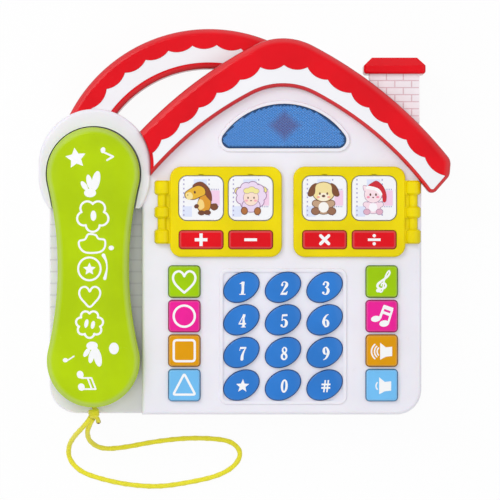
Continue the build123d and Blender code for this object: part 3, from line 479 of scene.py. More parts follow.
def surface_of(node):
    """A CAD node's surface, for dropping points onto."""
    mesh = frame["nodes"][node].data
    corners = [v.co[:] for v in mesh.vertices]
    return BVHTree.FromPolygons(corners, [p.vertices[:] for p in mesh.polygons])


def height_at(tree, x, y, top, missed=None):
    """The height of a surface at a point in plan, or the missed value beside it."""
    hit = tree.ray_cast(Vector((x, y, top + 0.01)), Vector((0, 0, -1)))[0]
    if hit:
        return hit.z
    return top if missed is None else missed


def new_piece(name, verts, faces, material, body):
    """A mesh piece with one material, riding on a body."""
    mesh = bpy.data.meshes.new(name)
    mesh.from_pydata(verts, [], faces)
    mesh.validate()
    mesh.materials.append(material)
    piece = bpy.data.objects.new(name, mesh)
    bpy.context.collection.objects.link(piece)
    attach(piece, body)
    return piece


def decal(name, host, body, shapes, material, cuts=(), layer=0, spacing=2.5):
    """A thin raised print that follows its host's surface; shapes are in millimetres in the row frame."""
    flat, faces = flat_triangles(list(shapes), list(cuts), spacing)
    used = sorted({i for f in faces for i in f})
    index = {old: new for new, old in enumerate(used)}
    faces = [tuple(index[i] for i in f) for f in faces]
    tree = surface_of(host)
    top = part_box(host)[1].z
    ink_depth = bpy.context.scene.telephone_sizes.print_thickness
    rise = ink_depth * (1 + layer)
    plan = [(flat[i][0] * MM, flat[i][1] * MM) for i in used]
    seat = [height_at(tree, x, y, top) for x, y in plan]
    count = len(plan)
    verts = [(x, y, z + rise) for (x, y), z in zip(plan, seat)]
    verts += [(x, y, z - ink_depth) for (x, y), z in zip(plan, seat)]
    sides = {}
    for f in faces:
        for a, b in zip(f, f[1:] + f[:1]):
            if (b, a) in sides:
                del sides[(b, a)]
            else:
                sides[(a, b)] = True
    walls = [(b, a, a + count, b + count) for a, b in sides]
    floor = [tuple(i + count for i in reversed(f)) for f in faces]
    return new_piece(name, verts, faces + walls + floor, material, body)


def middle_of(node):
    """The plan centre of a CAD node, in millimetres."""
    low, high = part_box(node)
    return (low.x + high.x) / 2 / MM, (low.y + high.y) / 2 / MM


# ================================================================ digits and signs
def digit_shapes(name):
    """A heavy serif figure in a box 0.6 wide and 1 high, as strokes and holes."""
    if name == "1":
        stem = [bar(0.2, 0.02, 0.42, 0.98), bar(0.08, 0.0, 0.54, 0.07)]
        return stem + brush([(0.3, 0.95), (0.2, 0.88), (0.08, 0.84)], [0.1, 0.1, 0.05]), []
    if name == "2":
        curve = brush(
            [(0.1, 0.74), (0.16, 0.92), (0.3, 0.97), (0.45, 0.88), (0.46, 0.72), (0.34, 0.48), (0.1, 0.1)],
            [0.1, 0.08, 0.07, 0.15, 0.22, 0.15, 0.06],
        )
        foot = [[(0.03, 0.0), (0.52, 0.0), (0.57, 0.27), (0.52, 0.27), (0.46, 0.17), (0.08, 0.16)]]
        return curve + foot + [oval(0.13, 0.74, 0.085, 0.085)], []
    if name == "3":
        upper = brush([(0.1, 0.84), (0.2, 0.96), (0.33, 0.95), (0.43, 0.85), (0.41, 0.68), (0.26, 0.55)],
                      [0.08, 0.07, 0.1, 0.18, 0.16, 0.06])
        lower = brush([(0.26, 0.56), (0.42, 0.48), (0.48, 0.3), (0.41, 0.1), (0.25, 0.03), (0.1, 0.1)],
                      [0.06, 0.15, 0.22, 0.16, 0.07, 0.07])
        return upper + lower + [oval(0.12, 0.8, 0.08, 0.08), oval(0.12, 0.15, 0.09, 0.09)], []
    if name == "4":
        body = straight([(0.36, 0.97), (0.05, 0.3)], 0.07) + [bar(0.02, 0.22, 0.57, 0.33)]
        return body + [bar(0.29, 0.02, 0.48, 0.98), bar(0.2, 0.0, 0.56, 0.06)], []
    if name == "5":
        top = [[(0.12, 0.82), (0.12, 0.98), (0.5, 1.0), (0.53, 0.86)], bar(0.1, 0.5, 0.17, 0.95)]
        bowl = brush(
            [(0.12, 0.53), (0.27, 0.6), (0.42, 0.5), (0.47, 0.31), (0.4, 0.1), (0.24, 0.03), (0.1, 0.1)],
            [0.06, 0.08, 0.16, 0.22, 0.16, 0.07, 0.07],
        )
        return top + bowl + [oval(0.12, 0.15, 0.085, 0.085)], []
    if name == "6":
        back = brush([(0.46, 0.98), (0.28, 0.86), (0.16, 0.62), (0.14, 0.34), (0.28, 0.06)],
                     [0.05, 0.12, 0.18, 0.2, 0.1])
        bowl = brush([(0.3, 0.04), (0.44, 0.12), (0.47, 0.3), (0.42, 0.48), (0.3, 0.56), (0.18, 0.48)],
                     [0.07, 0.14, 0.2, 0.15, 0.07, 0.06])
        return back + bowl, []
    if name == "7":
        top = [[(0.04, 0.7), (0.09, 0.98), (0.55, 0.98), (0.55, 0.86), (0.12, 0.82), (0.08, 0.7)]]
        return top + brush([(0.5, 0.9), (0.36, 0.6), (0.28, 0.3), (0.27, 0.06)], [0.07, 0.13, 0.2, 0.22]), []
    if name == "8":
        return [oval(0.3, 0.74, 0.2, 0.25), oval(0.3, 0.27, 0.25, 0.28)], [
            oval(0.3, 0.76, 0.075, 0.14, 12), oval(0.3, 0.26, 0.09, 0.16, 12)]
    if name == "9":
        shapes, _ = digit_shapes("6")
        return [[(0.6 - x, 1.0 - y) for x, y in s] for s in shapes], []
    if name == "0":
        return [oval(0.3, 0.5, 0.26, 0.5)], [oval(0.3, 0.5, 0.085, 0.37)]
    if name == "hash":
        lines = [bar(-0.06, 0.56, 0.66, 0.7), bar(-0.06, 0.28, 0.66, 0.42)]
        for x in (0.1, 0.35):
            lines.append([(x, 0.0), (x + 0.12, 0.0), (x + 0.19, 0.98), (x + 0.07, 0.98)])
        return lines, []
    if name == "star":
        return [star(0.3, 0.5, 0.56, 0.25)], []
    raise ValueError(f"no figure is drawn for {name}")


def heart_outline():
    return [(0, -6.6), (3.6, -3.4), (6.0, -0.4), (6.7, 2.6), (5.6, 5.2), (3.2, 6.2), (1.2, 5.2), (0, 3.2)]


def song_shapes(name):
    """The white symbols of the eight square buttons, about 14 mm across, as shapes and holes."""
    line = 1.35
    if name == "heart":
        half = heart_outline()
        ring = smooth(half, closed=False, steps=5)
        return straight(ring + [(-x, y) for x, y in reversed(ring)][1:-1], line, closed=True), []
    if name == "circle":
        return [oval(0, 0, 7.0, 7.0, count=64)], [oval(0, 0, 5.65, 5.65, count=64)]
    if name == "square":
        ring = [(x * 6.3, y * 6.3) for x, y in ((1, 1), (-1, 1), (-1, -1), (1, -1))]
        return straight(round_corners(ring, 1.9), line, closed=True), []
    if name == "triangle":
        return straight(round_corners([(0, 6.9), (-6.6, -5.6), (6.6, -5.6)], 1.3), line, closed=True), []
    if name == "clef":
        stem = brush(
            [
                (-1.9, -5.4), (-0.6, -6.2), (0.5, -5.0), (1.3, 0.0), (2.7, 4.4), (4.3, 6.5), (4.7, 5.0),
                (3.2, 2.8), (0.2, 0.6), (-2.2, -1.4), (-2.5, -3.2), (-0.7, -4.3), (1.6, -3.8), (2.5, -2.2),
                (1.4, -0.8), (-0.1, -1.3), (-0.3, -2.5),
            ],
            [1.3, 1.0, 0.9, 0.9, 0.9, 0.8, 1.1, 1.2, 1.3, 1.5, 1.4, 1.1, 1.2, 1.2, 0.9, 0.8, 0.7],
        )
        return stem + [oval(-2.0, -5.2, 1.5, 1.2, 20)], []
    if name == "notes":
        heads = [oval(-3.6, -1.6, 2.9, 1.8, 8), oval(1.4, -4.4, 2.9, 1.9, 8)]
        stems = [
            [(-1.9, -1.0), (0.9, 6.4), (2.2, 6.4), (-0.4, -1.4)],
            [(3.1, -4.2), (5.6, 4.0), (6.9, 4.0), (4.3, -4.4)],
        ]
        beams = [
            [(0.4, 4.8), (1.3, 6.9), (7.0, 4.9), (6.2, 2.6)],
            [(-0.5, 1.9), (0.2, 3.4), (5.9, 1.4), (5.2, -0.2)],
        ]
        return heads + stems + beams, []
    speaker = [[(-1.0, 3.6), (-1.0, -5.4), (2.4, -3.6), (6.2, -3.2), (6.2, 2.4), (2.4, 2.0), (-1.0, 4.8)]]
    if name == "loud":
        waves = []
        for reach, width in ((2.2, 0.8), (3.8, 0.8), (5.6, 0.9)):
            waves += sound_wave(-0.6, -0.5, reach, reach + 1.3, width)
        return speaker + waves, []
    if name == "soft":
        return moved(speaker, -0.6, 0) + sound_wave(-1.3, -0.4, 2.2, 3.2, 0.8), []
    raise ValueError(f"no symbol is drawn for {name}")


def sound_wave(x, y, reach, spread, width):
    """One arc of sound on the left of a loudspeaker."""
    turns = [radians(a) for a in range(-50, 51, 10)]
    return straight([(x - reach * cos(t), y + spread * sin(t) * 0.8) for t in turns], width)


def round_corners(ring, radius):
    """A polygon with its corners rounded."""
    result = []
    n = len(ring)
    for i, (x, y) in enumerate(ring):
        px, py = ring[i - 1]
        qx, qy = ring[(i + 1) % n]
        a = Vector((px - x, py - y)).normalized() * radius
        b = Vector((qx - x, qy - y)).normalized() * radius
        for s in range(7):
            t = s / 6
            wx = (1 - t) ** 2 * a.x + t**2 * b.x
            wy = (1 - t) ** 2 * a.y + t**2 * b.y
            result.append((x + wx, y + wy))
    return result


def sum_shapes(name):
    """The four arithmetic signs."""
    if name == "plus":
        return [bar(-3.8, -0.95, 3.8, 0.95), bar(-0.95, -3.8, 0.95, 3.8)], []
    if name == "minus":
        return [bar(-3.8, -0.85, 3.8, 0.85)], []
    if name == "times":
        return straight([(-2.4, -2.4), (2.4, 2.4)], 1.9) + straight([(-2.4, 2.4), (2.4, -2.4)], 1.9), []
    return [bar(-3.8, -0.75, 3.8, 0.75), oval(0, 2.4, 1.0, 1.0), oval(0, -2.4, 1.0, 1.0)], []


# ================================================================ pictures on the tiles
PICTURE_SCALE = 1.05
PICTURE_LAYER = 0.3  # each layer of a picture stands this share of a print's thickness higher


def picture_ground():
    """Pastel patches with stitched edges behind every animal."""
    stitches = []
    for i in range(9):
        y = -10.0 + 2.5 * i
        stitches += [bar(-10.2, y, -9.5, y + 0.9), bar(4.2, y, 4.9, y + 0.9)]
    for i in range(5):
        stitches += [bar(5.6 + i, 4.6, 6.0 + i, 5.4), bar(5.6 + i, -5.2, 6.0 + i, -4.4)]
    return [
        ([bar(5.6, -4.2, 10.6, 4.4)], ink(246, 208, 232)),
        ([bar(-10.6, -10.6, -5.2, -4.6), bar(-4.2, 5.6, 3.4, 10.8)], ink(224, 230, 250)),
        (stitches, ink(168, 160, 200)),
    ]


def grown(ring, by):
    """A ring pushed outwards from its middle, for a dark outline under it."""
    cx = sum(p[0] for p in ring) / len(ring)
    cy = sum(p[1] for p in ring) / len(ring)
    result = []
    for x, y in ring:
        d = hypot(x - cx, y - cy) or 1.0
        result.append((x + (x - cx) / d * by, y + (y - cy) / d * by))
    return result


def outlined(rings, colour, line=OUTLINE_BROWN, width=0.4):
    """Two layers: the rings grown in the outline colour, then the rings themselves."""
    return [([grown(r, width) for r in rings], line), (rings, colour)]


def twice(middle, apart, y, rx, ry):
    """A pair of ovals, the same distance left and right of a middle line."""
    return [oval(middle - apart, y, rx, ry), oval(middle + apart, y, rx, ry)]


def horse_layers():
    mane = [(-3.2, 8.2), (0.2, 9.0), (3.4, 6.6), (5.6, 2.6), (5.8, -1.4), (3.4, 0.6), (0.6, 4.2), (-4.4, 6.2)]
    mane = smooth(mane)
    body = smooth([(1.6, 3.6), (4.8, 0.8), (5.4, -3.8), (3.8, -7.4), (0.4, -8.0), (-1.8, -5.4), (-1.2, -1.0)])
    head = [(-1.8, 7.0), (1.6, 5.6), (2.2, 2.4), (-0.8, 0.8), (-4.4, -0.6), (-8.4, 0.2), (-9.0, 2.8)]
    head = smooth(head + [(-6.4, 5.0)])
    muzzle = smooth([(-8.8, 2.4), (-6.4, 3.4), (-4.8, 1.8), (-5.2, -0.4), (-7.8, -0.6)])
    belly = smooth([(-1.0, -0.8), (1.2, -1.6), (1.8, -5.2), (-0.6, -6.6), (-2.2, -4.2)])
    tail = smooth([(5.0, -4.2), (8.4, -3.4), (9.2, -5.6), (7.0, -6.6)])
    hooves = [oval(0.2, -8.4, 1.6, 1.0), oval(3.6, -8.2, 1.6, 1.0), oval(-2.6, -4.6, 1.0, 0.8, 30)]
    layers = outlined([tail], ink(120, 66, 34)) + outlined([body], ink(222, 152, 34))
    layers += outlined([mane], ink(126, 62, 30)) + outlined([head], ink(232, 180, 40))
    layers += [([muzzle], ink(250, 226, 150)), ([belly], ink(248, 214, 130))]
    layers += outlined(hooves, ink(110, 60, 34))
    return layers + [([oval(-3.6, 3.4, 0.55, 0.8, 12), oval(-7.6, 1.8, 0.3, 0.3)], OUTLINE_BROWN)]


def sheep_layers():
    turns = [radians(a) for a in range(0, 360, 40)]
    wool = [oval(0.2 + 5.6 * cos(t), 1.4 + 5.2 * sin(t), 3.0, 2.8) for t in turns]
    body = [oval(0.2, -4.2, 5.0, 3.6)]
    ears = [oval(-7.0, 4.2, 2.0, 1.7, 20), oval(7.2, 4.6, 2.0, 1.7, -20)]
    face = [oval(0.2, 0.2, 4.2, 4.4)]
    fringe = [oval(-2.0, 4.2, 2.0, 1.5), oval(0.6, 4.9, 2.1, 1.6), oval(3.0, 4.0, 1.8, 1.4)]
    feet = [oval(-3.6, -7.2, 1.6, 1.9, 10), oval(3.9, -7.4, 1.6, 1.9, -10)]
    layers = outlined(ears, ink(240, 232, 130), OUTLINE_PLUM)
    layers += outlined(wool, ink(240, 220, 242), OUTLINE_PLUM)
    layers += outlined(body, ink(236, 216, 240), OUTLINE_PLUM)
    layers += outlined(face, ink(252, 226, 206), OUTLINE_PLUM, 0.25)
    layers += outlined(fringe, ink(244, 234, 150), OUTLINE_PLUM, 0.2)
    layers += outlined(feet, ink(176, 108, 54))
    layers += [(twice(0.2, 2.6, -1.4, 0.9, 0.6), ink(250, 176, 190))]
    return layers + [(twice(0.2, 1.7, 0.2, 0.4, 0.6) + [oval(0.2, -1.4, 0.5, 0.3)], OUTLINE_BROWN)]


def dog_layers():
    body = [oval(-0.6, -4.8, 4.9, 4.2)] + twice(-0.6, 4.4, -3.0, 1.9, 1.7)
    legs = twice(-0.6, 4.6, -7.4, 2.2, 1.9)
    head = [oval(-0.6, 3.6, 6.2, 5.4)]
    left_ear = smooth([(-4.8, 8.2), (-7.4, 6.8), (-9.4, 2.4), (-8.0, 1.2), (-6.0, 2.6), (-5.6, 5.6)])
    ears = [left_ear, [(-1.2 - x, y) for x, y in reversed(left_ear)]]
    layers = outlined(body, ink(196, 160, 128)) + outlined(legs, ink(150, 104, 76))
    layers += outlined(head, ink(244, 224, 158)) + outlined(ears, ink(122, 70, 34))
    layers += [([oval(-0.6, 0.6, 3.4, 2.4)], ink(252, 240, 214))]
    layers += [([oval(-0.6, -5.2, 2.9, 3.0)], ink(250, 246, 240))]
    layers += [(twice(-0.6, 3.0, 0.6, 0.9, 0.6), ink(248, 170, 150))]
    return layers + [(twice(-0.6, 2.1, 2.6, 0.5, 0.75) + [oval(-0.6, 1.2, 1.0, 0.7)], OUTLINE_BROWN)]


def cat_layers():
    hat = [(-3.6, 6.4), (-0.6, 9.0), (1.8, 9.6), (5.0, 6.6), (6.8, 2.0), (6.6, -1.6), (5.0, -2.0)]
    hat = smooth(hat + [(4.4, 1.4), (2.0, 5.0)])
    brim = smooth([(-4.6, 5.4), (-3.6, 7.0), (2.2, 5.6), (4.6, 2.4), (3.6, 1.4), (0.8, 4.2)])
    head = [oval(-0.6, 2.0, 4.9, 4.6)]
    ears = [smooth([(-5.4, 4.0), (-6.2, 7.0), (-3.4, 6.2)]), smooth([(3.6, 4.0), (5.0, 5.8), (4.8, 2.4)])]
    body = [oval(-0.6, -5.0, 4.2, 3.7), oval(-4.6, -3.6, 1.6, 1.4), oval(3.6, -3.6, 1.6, 1.4)]
    feet = twice(-0.6, 3.6, -7.8, 1.8, 1.5)
    layers = outlined(body, ink(250, 222, 232), OUTLINE_PLUM, 0.25)
    layers += outlined(feet, ink(226, 176, 196), OUTLINE_PLUM, 0.25)
    layers += outlined(ears + head, ink(252, 226, 232), OUTLINE_PLUM, 0.25)
    layers += outlined([hat], ink(206, 24, 44), ink(150, 16, 30), 0.2) + [([brim], ink(252, 250, 250))]
    layers += [([oval(-0.6, -5.2, 2.4, 2.5)], ink(252, 248, 252))]
    layers += [([oval(-3.4, 0.6, 0.9, 0.6), oval(2.0, 0.6, 0.9, 0.6)], ink(248, 150, 176))]
    return layers + [(twice(-0.6, 1.6, 2.0, 0.5, 0.75) + [oval(-0.6, 0.4, 0.5, 0.35)], OUTLINE_BROWN)]


ANIMALS = {"horse": horse_layers, "sheep": sheep_layers, "dog": dog_layers, "cat": cat_layers}


# ================================================================ graphics of the handset
def sprig(flip=1):
    """Three leaves on a curl, filled."""
    leaves = [oval(2.9, 3.6 * flip, 2.4, 6.0, -12 * flip), oval(-1.0, 3.0 * flip, 1.7, 4.4, 12 * flip)]
    leaves += [oval(-4.0, 0.6 * flip, 1.5, 3.2, 34 * flip), oval(-0.6, -3.6 * flip, 3.6, 2.6)]
    return leaves


def note_single():
    return [oval(-2.2, 2.2, 1.5, 1.9, -10)] + straight([(-1.4, 0.8), (4.2, -1.8), (0.4, -4.0)], 1.2)


def note_pair():
    heads = [oval(-4.3, 4.0, 2.0, 2.3, 20), oval(-3.6, -3.4, 2.0, 2.2, 20)]
    frames = straight([(-3.4, 2.0), (2.4, 2.0), (5.0, -4.6), (-3.0, -4.6)], 1.0)
    return heads + frames + straight([(0.2, 1.8), (2.6, -4.4)], 1.0)


def ring_of(outline, width):
    return straight(outline, width, closed=True)


def handset_graphics():
    """White print down the middle of the handset: shapes with their places in millimetres from its middle."""
    line = 1.25
    cloud = [(-7.8, -2.6), (-8.4, 1.6), (-4.6, 3.0), (-2.4, 6.2), (2.2, 5.8)]
    cloud = smooth(cloud + [(4.2, 3.4), (8.2, 2.4), (8.0, -2.6), (4.4, -5.4), (-3.8, -5.6)])
    right_half = heart_outline()
    left_half = [(-x, y) for x, y in reversed(right_half[1:-1])]
    heart = [(x * 1.02, y * 1.02) for x, y in smooth(right_half + left_half, steps=4)]
    return [
        (moved([star(0, 0, 6.4, 3.2, 98)], -10.1, 65.1), []),
        (moved(note_single(), 8.2, 67.8, 0.95), []),
        (moved(sprig(), -1.0, 48.0, 1.0), []),
        (moved(ring_of(petals(5, 7.0, 2.6), line), 0.0, 30.8), []),
        (moved([oval(0, 0, 1.7, 3.1)], 0.4, 30.8), []),
        (moved(ring_of(cloud, line), -0.4, 14.0, 0.92), []),
        (moved([oval(0, 0, 1.6, 1.4)], 11.0, 11.6), []),
        ([oval(-2.0, -0.9, 7.3, 7.4, count=64)], [oval(-2.0, -0.9, 6.1, 6.2, count=64)]),
        (moved([star(0, 0, 3.9, 1.9, 90)], -2.0, -1.1), []),
        (brush([(6.4, 7.2), (8.0, 3.6), (8.4, -1.0), (7.2, -6.6)], [2.2, 1.2, 0.9, 2.0]), []),
        (moved(ring_of(heart, line), -1.8, -17.4, 0.92), []),
        (moved(ring_of(petals(7, 6.4, 1.8), line), -1.9, -33.9), []),
        (moved([oval(-1.9, 0.4, 1.2, 2.6, -12), oval(2.0, -0.4, 1.2, 2.4, -12)], -1.9, -33.9), []),
        (moved(sprig(-1), 0.2, -50.2, 0.95), []),
        (moved([oval(0, 0, 2.9, 3.5)], 12.6, -48.4), []),
        (moved([oval(-1.8, -0.6, 1.5, 1.3)] + straight([(-0.8, -1.0), (3.4, 1.8)], 0.8), -14.6, -54.8), []),
        (moved(note_pair(), -3.2, -68.0, 1.0), []),
    ]


# ================================================================ lanyard
CORD_D = 3.2
CORD_ROUTE = [
    (-92.4, -117.3, 32.6),
    (-95.2, -121.5, 30.4),
    (-99.1, -125.5, 24.4),
    (-103.3, -130.0, 15.4),
    (-107.0, -136.1, 6.6),
    (-107.0, -144.0, 2.25),
    (-100.5, -151.5, 1.65),
    (-89.9, -155.6, 1.65),
    (-73.1, -159.6, 1.65),
    (-52.8, -161.3, 1.65),
    (-33.5, -158.4, 1.65),
    (-16.3, -154.6, 1.65),
    (-5.7, -148.5, 1.65),
    (-1.7, -140.4, 1.65),
    (-7.4, -133.5, 1.65),
    (-19.3, -131.6, 1.65),
    (-36.6, -131.4, 1.65),
    (-55.8, -133.7, 1.65),
    (-74.1, -137.3, 2.05),
    (-86.6, -138.0, 5),
    (-93.5, -133.5, 13),
    (-95.2, -127.7, 22),
    (-93.5, -122.5, 28.6),
    (-91.2, -118.6, 31.2),
]
# The route is in the drawing frame of the CAD source; the row frame's origin lies here in it.
DRAWING_ORIGIN = (0.0186, 0.275)


def row_point(x, y, z):
    return ((x - DRAWING_ORIGIN[0]) * MM, (y - DRAWING_ORIGIN[1]) * MM, z * MM)


def spline_line(name, points):
    """Points read from a NURBS spline through a few control points."""
    curve = bpy.data.curves.new(name, "CURVE")
    curve.dimensions = "3D"
    curve.resolution_u = 24
    spline = curve.splines.new("NURBS")
    spline.points.add(len(points) - 1)
    for knot, point in zip(spline.points, points):
        knot.co = (*point, 1.0)
    spline.order_u = 3
    spline.use_endpoint_u = True
    holder = bpy.data.objects.new(name, curve)
    mesh = bpy.data.meshes.new_from_object(holder)
    line = np.array([v.co[:] for v in mesh.vertices])
    bpy.data.objects.remove(holder)
    bpy.data.curves.remove(curve)
    bpy.data.meshes.remove(mesh)
    return line


def evenly(line, step):
    """The same line with points about one step apart."""
    along = np.concatenate([[0], np.cumsum(np.linalg.norm(np.diff(line, axis=0), axis=1))])
    at = np.linspace(0, along[-1], int(along[-1] / step) + 2)
    return np.stack([np.interp(at, along, line[:, k]) for k in range(3)], axis=1), at


def braid_tube(name, line, radius, pitch, strands, material, body, taper=None):
    """A round cord whose skin rises and falls as crossing strands do, closed at both ends."""
    centre, along = evenly(line, radius * 0.24)
    around = 28
    tangent = np.gradient(centre, axis=0)
    tangent /= np.linalg.norm(tangent, axis=1)[:, None]
    side = np.cross(tangent[0], (0.0, 0.0, 1.0))
    if np.linalg.norm(side) < 1e-3:
        side = np.array((1.0, 0.0, 0.0))
    verts = []
    for i, (p, t) in enumerate(zip(centre, tangent)):
        side = side - t * np.dot(side, t)
        side /= np.linalg.norm(side)
        up = np.cross(t, side)
        scale = 1.0 if taper is None else taper(along[i] / along[-1])
        for j in range(around):
            a = 2 * pi * j / around
            phase = 2 * pi * along[i] / pitch
            one = cos(strands * a + phase)
            two = cos(strands * a - phase)
            weave = max(one, two) * 0.5 + 0.5 * one * two
            r = radius * scale * (0.9 + 0.1 * weave)
            verts.append(tuple(p + (side * cos(a) + up * sin(a)) * r))
    count = len(centre)
    faces = []
    for i in range(count - 1):
        for j in range(around):
            k = (j + 1) % around
            faces.append((i * around + j, i * around + k, (i + 1) * around + k, (i + 1) * around + j))
    first, last = len(verts), len(verts) + 1
    verts += [tuple(centre[0]), tuple(centre[-1])]
    for j in range(around):
        k = (j + 1) % around
        faces.append((first, k, j))
        faces.append((last, (count - 1) * around + j, (count - 1) * around + k))
    piece = new_piece(name, verts, faces, material, body)
    for polygon in piece.data.polygons:
        polygon.use_smooth = True
    return piece


# ================================================================ sizes and colours a user may change
def length_setting(name, description, millimetres, precision=4):
    """A length that a user may change."""
    return FloatProperty(
        name=name, description=description, default=millimetres * MM, unit="LENGTH", precision=precision
    )


def colour_setting(name, description, red, green, blue):
    """A colour that a user may change, given in screen values."""
    return FloatVectorProperty(
        name=name, description=description, subtype="COLOR", size=4, default=ink(red, green, blue)
    )


class TelephoneSizes(bpy.types.PropertyGroup):
    print_thickness: length_setting("Print thickness", "How thick the printed ink stands", 0.05, 6)
    digit_height: length_setting("Digit height", "Height of the key figures", 8.0)
    braid_pitch: length_setting("Braid pitch", "Length of one turn of a strand", 7.2)
    prism_pitch: length_setting("Prism pitch", "Width of one prism of the lens", 2.0)
    lamp_strength: FloatProperty(
        name="Lamp strength", description="Power of the big soft lamp in watts", default=3.2
    )


class TelephoneColours(bpy.types.PropertyGroup):
    shell: colour_setting("Shell", "White casing", 241, 238, 245)
    roof: colour_setting("Roof", "Red parts", 226, 10, 26)
    windows: colour_setting("Windows", "Yellow frames", 238, 216, 4)
    handset: colour_setting("Handset", "Lime handset", 179, 209, 0)
    keys: colour_setting("Keys", "Blue number keys", 44, 122, 206)
    lens: colour_setting("Lens", "Blue window lens", 48, 108, 176)
    cord: colour_setting("Lanyard", "Yellow braid", 244, 232, 30)


SONG_COLOURS = {
    "heart": ink(160, 204, 0),
    "circle": ink(236, 32, 150),
    "square": ink(226, 156, 0),
    "triangle": ink(118, 194, 246),
}
SONG_PAIRS = {"clef": "heart", "notes": "circle", "loud": "square", "soft": "triangle"}
KEY_NAMES = ["1", "2", "3", "4", "5", "6", "7", "8", "9", "star", "0", "hash"]


def white_print():
    """The one white ink that all prints share."""
    return bpy.data.materials.get("white_ink") or printed("white_ink", WHITE_INK)


def paint(node, material):
    """Gives a CAD node its finish."""
    mesh = frame["nodes"][node].data
    mesh.materials.clear()
    mesh.materials.append(material)


# ================================================================ operators
class TELEPHONE_OT_stage(bpy.types.Operator):
    """Sets up the floor, the backdrop light, the lamps and the camera"""

    bl_idname = "telephone.stage"
    bl_label = "Stage"

    def execute(self, context):
        scene = context.scene
        add_camera(scene)
        add_floor()
        add_world(scene)
        add_lamps(scene.telephone_sizes.lamp_strength)
        scene.view_settings.view_transform = "Standard"
        return {"FINISHED"}


def add_camera(scene):
    """A long lens straight above the toy, which lies on its back."""
    data = bpy.data.cameras.new("camera")
    height = 2.4
    face = 0.036
    across = 0.300
    data.sensor_width = 36.0
    data.lens = 36.0 * (height - face) / across
    camera = bpy.data.objects.new("camera", data)
    camera.location = (0.0033 - DRAWING_ORIGIN[0] * MM, -0.01695 - DRAWING_ORIGIN[1] * MM, height)
    bpy.context.collection.objects.link(camera)
    scene.camera = camera


def seen_directly(tree):
    """A socket that is 1 for rays from the camera and from shiny or clear surfaces, which all see white."""
    ray = tree.nodes.new("ShaderNodeLightPath")
    socket = ray.outputs["Is Camera Ray"]
    for kind in ("Is Glossy Ray", "Is Transmission Ray"):
        either = tree.nodes.new("ShaderNodeMath")
        either.operation = "MAXIMUM"
        tree.links.new(socket, either.inputs[0])
        tree.links.new(ray.outputs[kind], either.inputs[1])
        socket = either.outputs[0]
    return socket


FLOOR_GLOW = 0.94  # the rest of the floor's look is its soft shadow


def add_floor():
    """A pale floor that keeps a soft shadow and looks white to the camera."""
    reach = 3.0
    mesh = bpy.data.meshes.new("floor")
    corners = [(-reach, -reach, 0), (reach, -reach, 0), (reach, reach, 0), (-reach, reach, 0)]
    mesh.from_pydata(corners, [], [(0, 1, 2, 3)])
    floor = bpy.data.objects.new("floor", mesh)
    floor.location.z = -0.0002
    bpy.context.collection.objects.link(floor)
    m = Recipe("floor_paint")
    m.set(Base_Color=(0.9, 0.9, 0.9, 1.0), Roughness=0.9, Specular_IOR_Level=0.1)
    seen = Wire(m, seen_directly(m.tree))
    glow = m.node("ShaderNodeEmission", None, {"Color": (1, 1, 1, 1), "Strength": 1.0})
    matt = Wire(m, m.shader.outputs[0])
    mixed = m.node("ShaderNodeMixShader", None, {0: seen * FLOOR_GLOW, 1: matt, 2: glow})
    m.tree.links.new(mixed.socket, m.output.inputs[0])
    mesh.materials.append(m.material)


def add_world(scene):
    """Even soft light from everywhere; whatever sees it directly sees white."""
    world = bpy.data.worlds.new("studio")
    world.use_nodes = True
    tree = world.node_tree
    tree.nodes.clear()
    soft = tree.nodes.new("ShaderNodeBackground")
    soft.inputs["Color"].default_value = (0.96, 0.97, 1.0, 1.0)
    soft.inputs["Strength"].default_value = 0.5
    white = tree.nodes.new("ShaderNodeBackground")
    mix = tree.nodes.new("ShaderNodeMixShader")
    out = tree.nodes.new("ShaderNodeOutputWorld")
    tree.links.new(seen_directly(tree), mix.inputs[0])
    tree.links.new(soft.outputs[0], mix.inputs[1])
    tree.links.new(white.outputs[0], mix.inputs[2])
    tree.links.new(mix.outputs[0], out.inputs[0])
    scene.world = world


def add_lamps(strength):
    """A big soft lamp high above, one from the upper left, and weaker ones that round off the far edges."""
    for name, place, size, share in (
        ("top_lamp", (-0.1, 0.1, 2.8), 0.9, 4.4),
        ("key_lamp", (-0.5, 0.5, 0.8), 0.5, 1.0),
        ("fill_lamp", (0.6, 0.1, 0.7), 0.6, 0.3),
        ("low_lamp", (-0.4, -0.7, 0.5), 0.5, 0.3),
    ):
        data = bpy.data.lights.new(name, "AREA")
        data.energy = strength * share
        data.size = size
        lamp = bpy.data.objects.new(name, data)
        lamp.location = place
        lamp.visible_glossy = name != "top_lamp"
        lamp.rotation_euler = (Vector((0, 0, 0.02)) - Vector(place)).to_track_quat("-Z", "Y").to_euler()
        bpy.context.collection.objects.link(lamp)


KNOT_PLACE = (-115.0, 33.5)  # along and above, in the drawing frame
KNOT_R = 2.1 * MM
KNOT_LENGTH = 2.6 * MM
KNOT_STEPS = 30
KNOT_STEPS_A_TURN = 12


